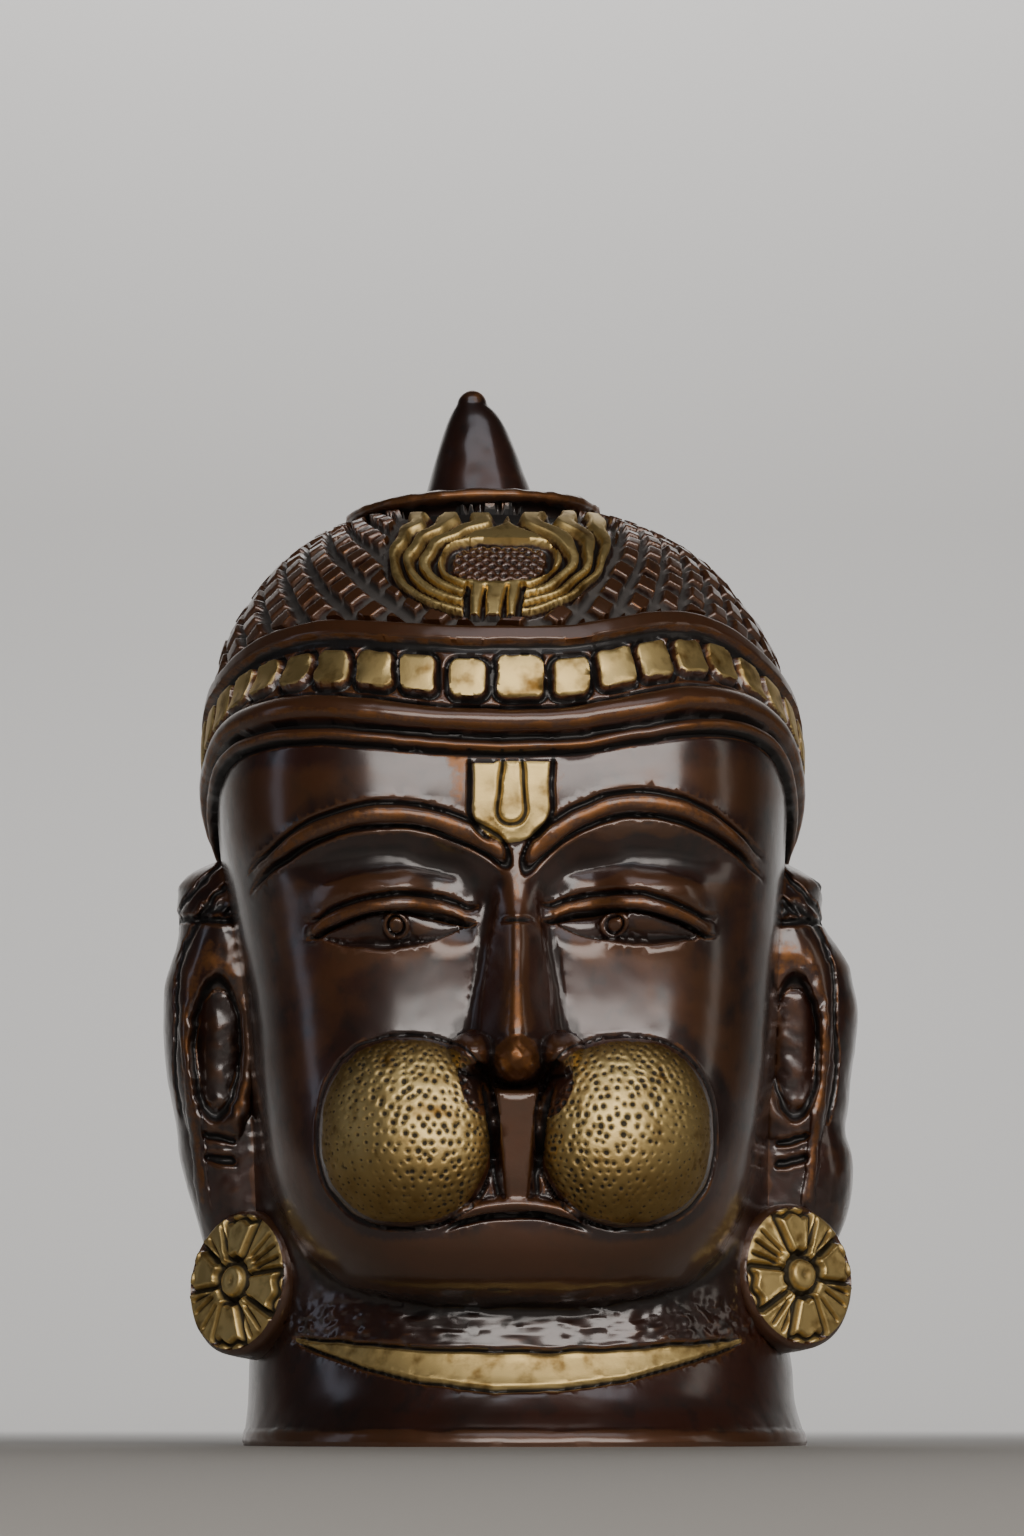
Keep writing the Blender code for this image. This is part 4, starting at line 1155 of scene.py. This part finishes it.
def settleMarks(piece):
    # gives the points on a joint or a cut the marks around them, and finds how sunk each point is
    mesh = piece.data
    count = len(mesh.vertices)
    ends = fetched(mesh.edges, "vertices", 2, int)
    both = np.concatenate([ends, ends[:, ::-1]])

    def around(values):  # the sum over the points next to each
        return np.bincount(both[:, 0], values[both[:, 1]], count)

    known = fetched(mesh.attributes["known"].data, "value")
    for key in ("line", "gold", "grime", "worn", "tarnishAndShade", "inside"):
        values = fetched(mesh.attributes[key].data, "value")
        has = (known > 0.99).astype(float)
        for _ in range(4):
            total = around(has)
            fresh = (has == 0) & (total > 0)
            values[fresh] = (around(values * has) / np.maximum(total, 1))[fresh]
            has[fresh] = 1
        mesh.attributes[key].data.foreach_set("value", values)
    places = fetched(mesh.vertices, "co", 3).astype(float)
    normals = fetched(mesh.vertices, "normal", 3)
    total = np.maximum(around(np.ones(count)), 1)
    smooth, sunk, rounds = places, np.zeros(count), 12
    for _ in range(rounds):
        smooth = np.column_stack([around(smooth[:, k]) / total for k in range(3)])
        sunk = sunk + ((smooth - places) * normals).sum(1) * 1000 / rounds
    layer = mesh.attributes.new("sunk", "FLOAT", "POINT")
    layer.data.foreach_set("value", sunk.astype(np.float32))
    for key in ("relief", "known"):
        mesh.attributes.remove(mesh.attributes[key])


def finishPiece(name, piece, materials):
    piece.name = piece.data.name = name
    settleMarks(piece)
    mesh = piece.data
    mesh.materials.clear()
    for material in materials:
        mesh.materials.append(material)
    inside = fetched(mesh.attributes["inside"].data, "value")
    corners = fetched(mesh.polygons, "vertices", 3, int)
    raw = inside[corners].mean(1) > 0.5
    mesh.polygons.foreach_set("material_index", raw.astype(np.int32))
    mesh.shade_smooth()
    mesh.set_sharp_from_angle(angle=math.radians(70))
    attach(piece, "root")
    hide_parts("hanuman_mask")
    print(name, len(mesh.polygons), "triangles")


def linear(hexColour):
    values = np.array([int(hexColour[i : i + 2], 16) for i in (1, 3, 5)]) / 255
    values = np.where(values > 0.04045, ((values + 0.055) / 1.055) ** 2.4, values / 12.92)
    return (*values.tolist(), 1.0)


def addNode(tree, kind, inputs=None, **settings):
    node = tree.nodes.new("ShaderNode" + kind)
    for name, value in settings.items():
        setattr(node, name, value)
    for name, value in (inputs or {}).items():
        if isinstance(value, bpy.types.NodeSocket):
            tree.links.new(value, node.inputs[name])
        else:
            node.inputs[name].default_value = value
    return node


def newMaterial(name):
    material = bpy.data.materials.new(name)
    material.use_nodes = True
    material.node_tree.nodes.clear()
    return material, material.node_tree


# how many per metre, and their detail
noiseScales = {"broad": (45, 3), "medium": (260, 3), "fine": (1100, 2), "grain": (4200, 1)}
patina = {
    "tones": {
        "brown": "#2b140a",
        "dark": "#120a07",
        "warm": "#3e1b0b",
        "brass": "#e6ca88",
        # the darker brass tone also serves as painted shade on the muzzle pads
        "dullAndShadedBrass": "#80602f",
        "copper": "#96643a",
        "grime": "#4c4845",
        "black": "#0b0908",
    },
    "metallic": 0.35,
    "roughness": 0.42,
    "brassRoughness": 0.46,
    "grimeRoughness": 0.7,
    "coatIor": 1.85,  # a dense brown oxide film under wax: its shine is grey, not brassy
    "coatRoughness": 0.19,
}
shares = {
    # from which mark or noise, what makes its edge uneven, from where to where, from how much to how much
    "gold": ("gold", {"medium": 0.4, "fine": 0.25}, -0.05, 0.15, 0.0, 1.0),
    "worn": ("worn", {"medium": 1.3, "fine": 0.6}, 0.35, 0.95, 0.0, 1.0),
    "lips": ("line", {"fine": 0.25}, -0.02, 0.12, 0.0, 1.0),
    "lipsEnd": ("line", {"fine": 0.25}, 0.16, 0.42, 0.7, 0.0),
    "lipsBroken": ("medium", {}, 0.44, 0.62, 0.0, 1.0),
    "crest": ("sunk", {"medium": 0.1}, -0.07, -0.2, 0.0, 0.3),
    "grime": ("grime", {"medium": 0.7, "fine": 0.4}, -0.05, 0.3, 0.0, 1.0),
    "groove": ("line", {}, -0.22, 0.1, 0.95, 0.0),
    # painted shade: black laid into the sunk hollows, more where they are more sunk
    "deep": ("sunk", {"medium": 0.06}, 0.08, 0.28, 0.0, 0.6),
    "warm": ("broad", {}, 0.35, 0.65, 0.0, 1.0),
    "dark": ("medium", {}, 0.5, 0.72, 0.0, 0.6),
    "dullAndShaded": ("medium", {}, 0.45, 0.8, 0.0, 1.0),
}
mathSteps = (
    ("lips", "MULTIPLY", "lips", "lipsEnd"),
    ("lips", "MULTIPLY", "lips", "lipsBroken"),
    ("bright", "MAXIMUM", "worn", "lips"),
    ("bright", "MAXIMUM", "bright", "crest"),
    ("clean", "SUBTRACT", 1.0, "grime"),
    ("deep", "MULTIPLY", "deep", "clean"),
    # black: soot in the chased lines, painted shade in the nostrils and the sunk hollows
    ("sootAndShade", "MAXIMUM", "groove", "deep"),
    # the pads' tarnish and painted shade dull their brass
    ("tarnishedAndShaded", "MULTIPLY_ADD", "medium", 0.5, "tarnishAndShade"),
    ("tarnishedAndShaded", "SUBTRACT", "tarnishedAndShaded", 0.25),
    ("dullAndShaded", "MAXIMUM", "dullAndShaded", "tarnishedAndShaded"),
    ("copper", "MULTIPLY", "bright", 0.85),
    ("polished", "MULTIPLY", "bright", 0.8),
    ("polished", "MAXIMUM", "polished", "gold"),
    ("matt", "MULTIPLY", "sootAndShade", 0.8),
    ("matt", "MAXIMUM", "matt", "grime"),
    ("bare", "SUBTRACT", 1.0, "matt"),
    ("metallic", "MULTIPLY_ADD", "polished", 1.0 - patina["metallic"], patina["metallic"]),
    ("metallic", "MULTIPLY", "metallic", "bare"),
    ("roughness", "MULTIPLY_ADD", "medium", 0.14, patina["roughness"] - 0.07),
    ("roughness", "MULTIPLY_ADD", "gold", patina["brassRoughness"] - patina["roughness"], "roughness"),
    ("roughness", "MULTIPLY_ADD", "matt", patina["grimeRoughness"] - patina["roughness"], "roughness"),
    ("film", "MAXIMUM", "polished", "matt"),
    ("film", "SUBTRACT", 1.0, "film"),
    ("height", "MULTIPLY", "fine", 0.6),
    ("height", "MULTIPLY_ADD", "grain", 0.4, "height"),
)
layers = (
    # what it gives, how much of the upper tone, the lower tone, the upper tone
    ("brass", "dullAndShaded", "brass", "dullAndShadedBrass"),
    ("colour", "warm", "brown", "warm"),
    ("colour", "dark", "colour", "dark"),
    ("colour", "copper", "colour", "copper"),
    ("colour", "gold", "colour", "brass"),
    ("colour", "grime", "colour", "grime"),
    # the black tone is soot in the chased lines and painted shade in hollows and nostrils
    ("colour", "sootAndShade", "colour", "black"),
)


def makePatinatedBrass():
    # lost-wax brass, patinated brown and waxed, so it glows red-brown where light catches it;
    # the ornament was polished back to yellow metal and the chased lines hold black soot
    # painted shade: black in the sunk hollows and the nostrils, duller brass on the pads' lower parts
    material, tree = newMaterial("lostWaxBrassPatinatedAndWaxed")
    place = addNode(tree, "TexCoord").outputs["Object"]
    values, made = {}, {}
    for key in ("line", "gold", "grime", "worn", "tarnishAndShade", "sunk"):
        values[key] = addNode(tree, "Attribute", attribute_name=key).outputs["Fac"]
    for key, (perMetre, detail) in noiseScales.items():
        wanted = {"Vector": place, "Scale": perMetre, "Detail": detail}
        values[key] = addNode(tree, "TexNoise", wanted).outputs["Fac"]
    for key, (source, uneven, low, high, first, last) in shares.items():
        value, shift = values[source], sum(uneven.values()) / 2
        for noise, amount in uneven.items():
            parts = {0: values[noise], 1: amount, 2: value}
            value = addNode(tree, "Math", parts, operation="MULTIPLY_ADD").outputs[0]
        wanted = {"Value": value, "From Min": low + shift, "From Max": high + shift}
        wanted |= {"To Min": first, "To Max": last}
        made[key] = addNode(tree, "MapRange", wanted, interpolation_type="SMOOTHSTEP").outputs[0]
    values |= made
    for key, operation, *parts in mathSteps:
        wanted = {k: values.get(part, part) for k, part in enumerate(parts)}
        values[key] = addNode(tree, "Math", wanted, operation=operation).outputs[0]
    tones = {key: linear(colour) for key, colour in patina["tones"].items()}
    for key, share, under, over in layers:
        wanted = {0: values[share], 6: tones[under], 7: tones[over]}
        tones[key] = addNode(tree, "Mix", wanted, data_type="RGBA").outputs[2]
    bump = {"Height": values["height"], "Strength": 0.25, "Distance": 0.00012}
    sockets = {"Base Color": tones["colour"], "Normal": addNode(tree, "Bump", bump).outputs[0]}
    sockets |= {"Metallic": values["metallic"], "Roughness": values["roughness"]}
    sockets |= {"Coat Weight": values["film"], "Coat IOR": patina["coatIor"]}
    shader = addNode(tree, "BsdfPrincipled", sockets | {"Coat Roughness": patina["coatRoughness"]})
    addNode(tree, "OutputMaterial", {"Surface": shader.outputs[0]})
    return material


rawBrass = {
    "dark": "#2c2420",
    "light": "#6b523a",
    "patches": {"Scale": 160, "Detail": 5},
    "grain": {"Scale": 1300, "Detail": 4},
    "spread": {"From Min": 0.38, "From Max": 0.66},
    "surface": {"Metallic": 0.7, "Roughness": 0.66},
    "bump": {"Strength": 0.6, "Distance": 0.0003},
}


def makeRawBrass():
    # the inside as it left the mould: dark, scaled and rough, never worked
    material, tree = newMaterial("rawCastBrassWithFireScale")
    place = addNode(tree, "TexCoord").outputs["Object"]
    patches, grain = [
        addNode(tree, "TexNoise", {"Vector": place} | rawBrass[key]).outputs["Fac"]
        for key in ("patches", "grain")
    ]
    amount = addNode(tree, "MapRange", {"Value": patches} | rawBrass["spread"]).outputs[0]
    tones = {0: amount, 6: linear(rawBrass["dark"]), 7: linear(rawBrass["light"])}
    colour = addNode(tree, "Mix", tones, data_type="RGBA").outputs[2]
    bump = addNode(tree, "Bump", {"Height": grain} | rawBrass["bump"]).outputs[0]
    settings = {"Base Color": colour, "Normal": bump} | rawBrass["surface"]
    shader = addNode(tree, "BsdfPrincipled", settings)
    addNode(tree, "OutputMaterial", {"Surface": shader.outputs[0]})
    return material


def makePieces():
    patinated, raw = makePatinatedBrass(), makeRawBrass()
    cutters = [
        makeHollow(),
        earSheet(-1, head["wall"]),
        earSheet(1, head["wall"]),
        makeBlock("behind", (-0.1, nodeHigh[1], -0.05), (0.1, nodeHigh[1] + 0.12, 0.25)),
        makeBlock("below", (-0.1, -0.1, -0.05), (0.1, 0.2, 0)),
    ]
    print("cutters ready")
    face = headPart("face", facePlace)
    print("face carved")
    crownPiece = headPart("crown", crownPlace)
    print("crown carved")
    tops = [makeDisc(), makeFinial()]
    boolean(crownPiece, "UNION", tops)
    ears = {}
    spent = list(cutters) + tops
    for side in (-1, 1):
        ring = makeEarring(side)
        ears[side] = earSheet(side)
        boolean(ears[side], "UNION", [ring])
        boolean(ears[side], "DIFFERENCE", [face, *cutters])
        spent.append(ring)
    print("ears carved")
    boolean(face, "DIFFERENCE", cutters)
    boolean(crownPiece, "DIFFERENCE", cutters)
    for tool in spent:
        bpy.data.objects.remove(tool)
    named = {"maskFace": face, "maskCrown": crownPiece}
    named |= {"maskEarLeft": ears[-1], "maskEarRight": ears[1]}
    for name, piece in named.items():
        finishPiece(name, piece, (patinated, raw))


room = {
    "floorColour": "#97948e",
    "front": -2.2,
    "behind": 1.7,  # the wall, far enough back for the other views to stand before it
    "cove": 0.43,  # how round the floor turns up into the wall
    "height": 3.4,
    "half": 3.0,
    "world": "#8e8f92",
    "worldStrength": 0.06,
}


def makeRoom():
    sheet = bmesh.new()
    start, cove = room["behind"] - room["cove"], room["cove"]
    run = [(room["front"], 0.0), (start, 0.0)]
    for k in range(1, 13):
        turn = math.radians(k * 7.5)
        run.append((start + cove * math.sin(turn), cove - cove * math.cos(turn)))
    run.append((room["behind"], room["height"]))
    rows = [[sheet.verts.new((x, y, z)) for y, z in run] for x in (-room["half"], room["half"])]
    for (a, b), (c, d) in zip(zip(rows[0], rows[0][1:]), zip(rows[1], rows[1][1:])):
        sheet.faces.new((a, c, d, b))
    mesh = bpy.data.meshes.new("floor")
    sheet.to_mesh(mesh)
    sheet.free()
    mesh.shade_smooth()
    material, tree = newMaterial("palePaintedBoard")
    shader = addNode(tree, "BsdfPrincipled", {"Base Color": linear(room["floorColour"]), "Roughness": 0.75})
    addNode(tree, "OutputMaterial", {"Surface": shader.outputs[0]})
    mesh.materials.append(material)
    floor = placed("floor", mesh)
    world = bpy.data.worlds.new("studio")
    bpy.context.scene.world = world
    world.use_nodes = True
    background = world.node_tree.nodes["Background"]
    background.inputs["Color"].default_value = linear(room["world"])
    background.inputs["Strength"].default_value = room["worldStrength"]


lights = {
    # name: place, aimed at, width, height, power, colour
    "sky": ((0.30, -1.35, 0.70), (0, 0, 0.10), 2.2, 0.62, 17.5, "#fff8f2"),
    "above": ((0.15, -0.70, 1.20), (0, 0, 0.10), 1.4, 0.5, 2.4, "#f2f5ff"),
    "left": ((-0.95, -0.05, 0.30), (0, 0, 0.10), 0.16, 0.6, 0.2, "#dfe9ff"),
    "right": ((0.95, -0.10, 0.35), (0, 0, 0.10), 0.16, 0.6, 0.25, "#fff6ea"),
    "backdrop": ((0, 1.02, 1.35), (0, 1.7, 0.82), 1.28, 0.17, 48.0, "#f6f8ff"),
}


def makeLights():
    for name, (place, aim, wide, tall, power, colour) in lights.items():
        data = bpy.data.lights.new(name, "AREA")
        data.shape, data.size, data.size_y = "RECTANGLE", wide, tall
        data.energy, data.color = power, linear(colour)[:3]
        lamp = placed(name, data)
        lamp.location = place
        lamp.rotation_euler = (Vector(aim) - Vector(place)).to_track_quat("-Z", "Y").to_euler()


view = {"place": (0.0001, -1.0, 0.005), "pitch": 6.46, "lens": 134.4, "sensor": 36.0}


def makeCamera():
    data = bpy.data.cameras.new("camera")
    data.sensor_fit, data.sensor_width, data.sensor_height = "VERTICAL", view["sensor"], view["sensor"]
    data.lens = view["lens"]
    data.clip_start = 0.05
    camera = placed("camera", data)
    camera.location = view["place"]
    camera.rotation_euler = (math.radians(90 + view["pitch"]), 0, 0)
    bpy.context.scene.camera = camera


makePieces()
makeRoom()
makeLights()
makeCamera()
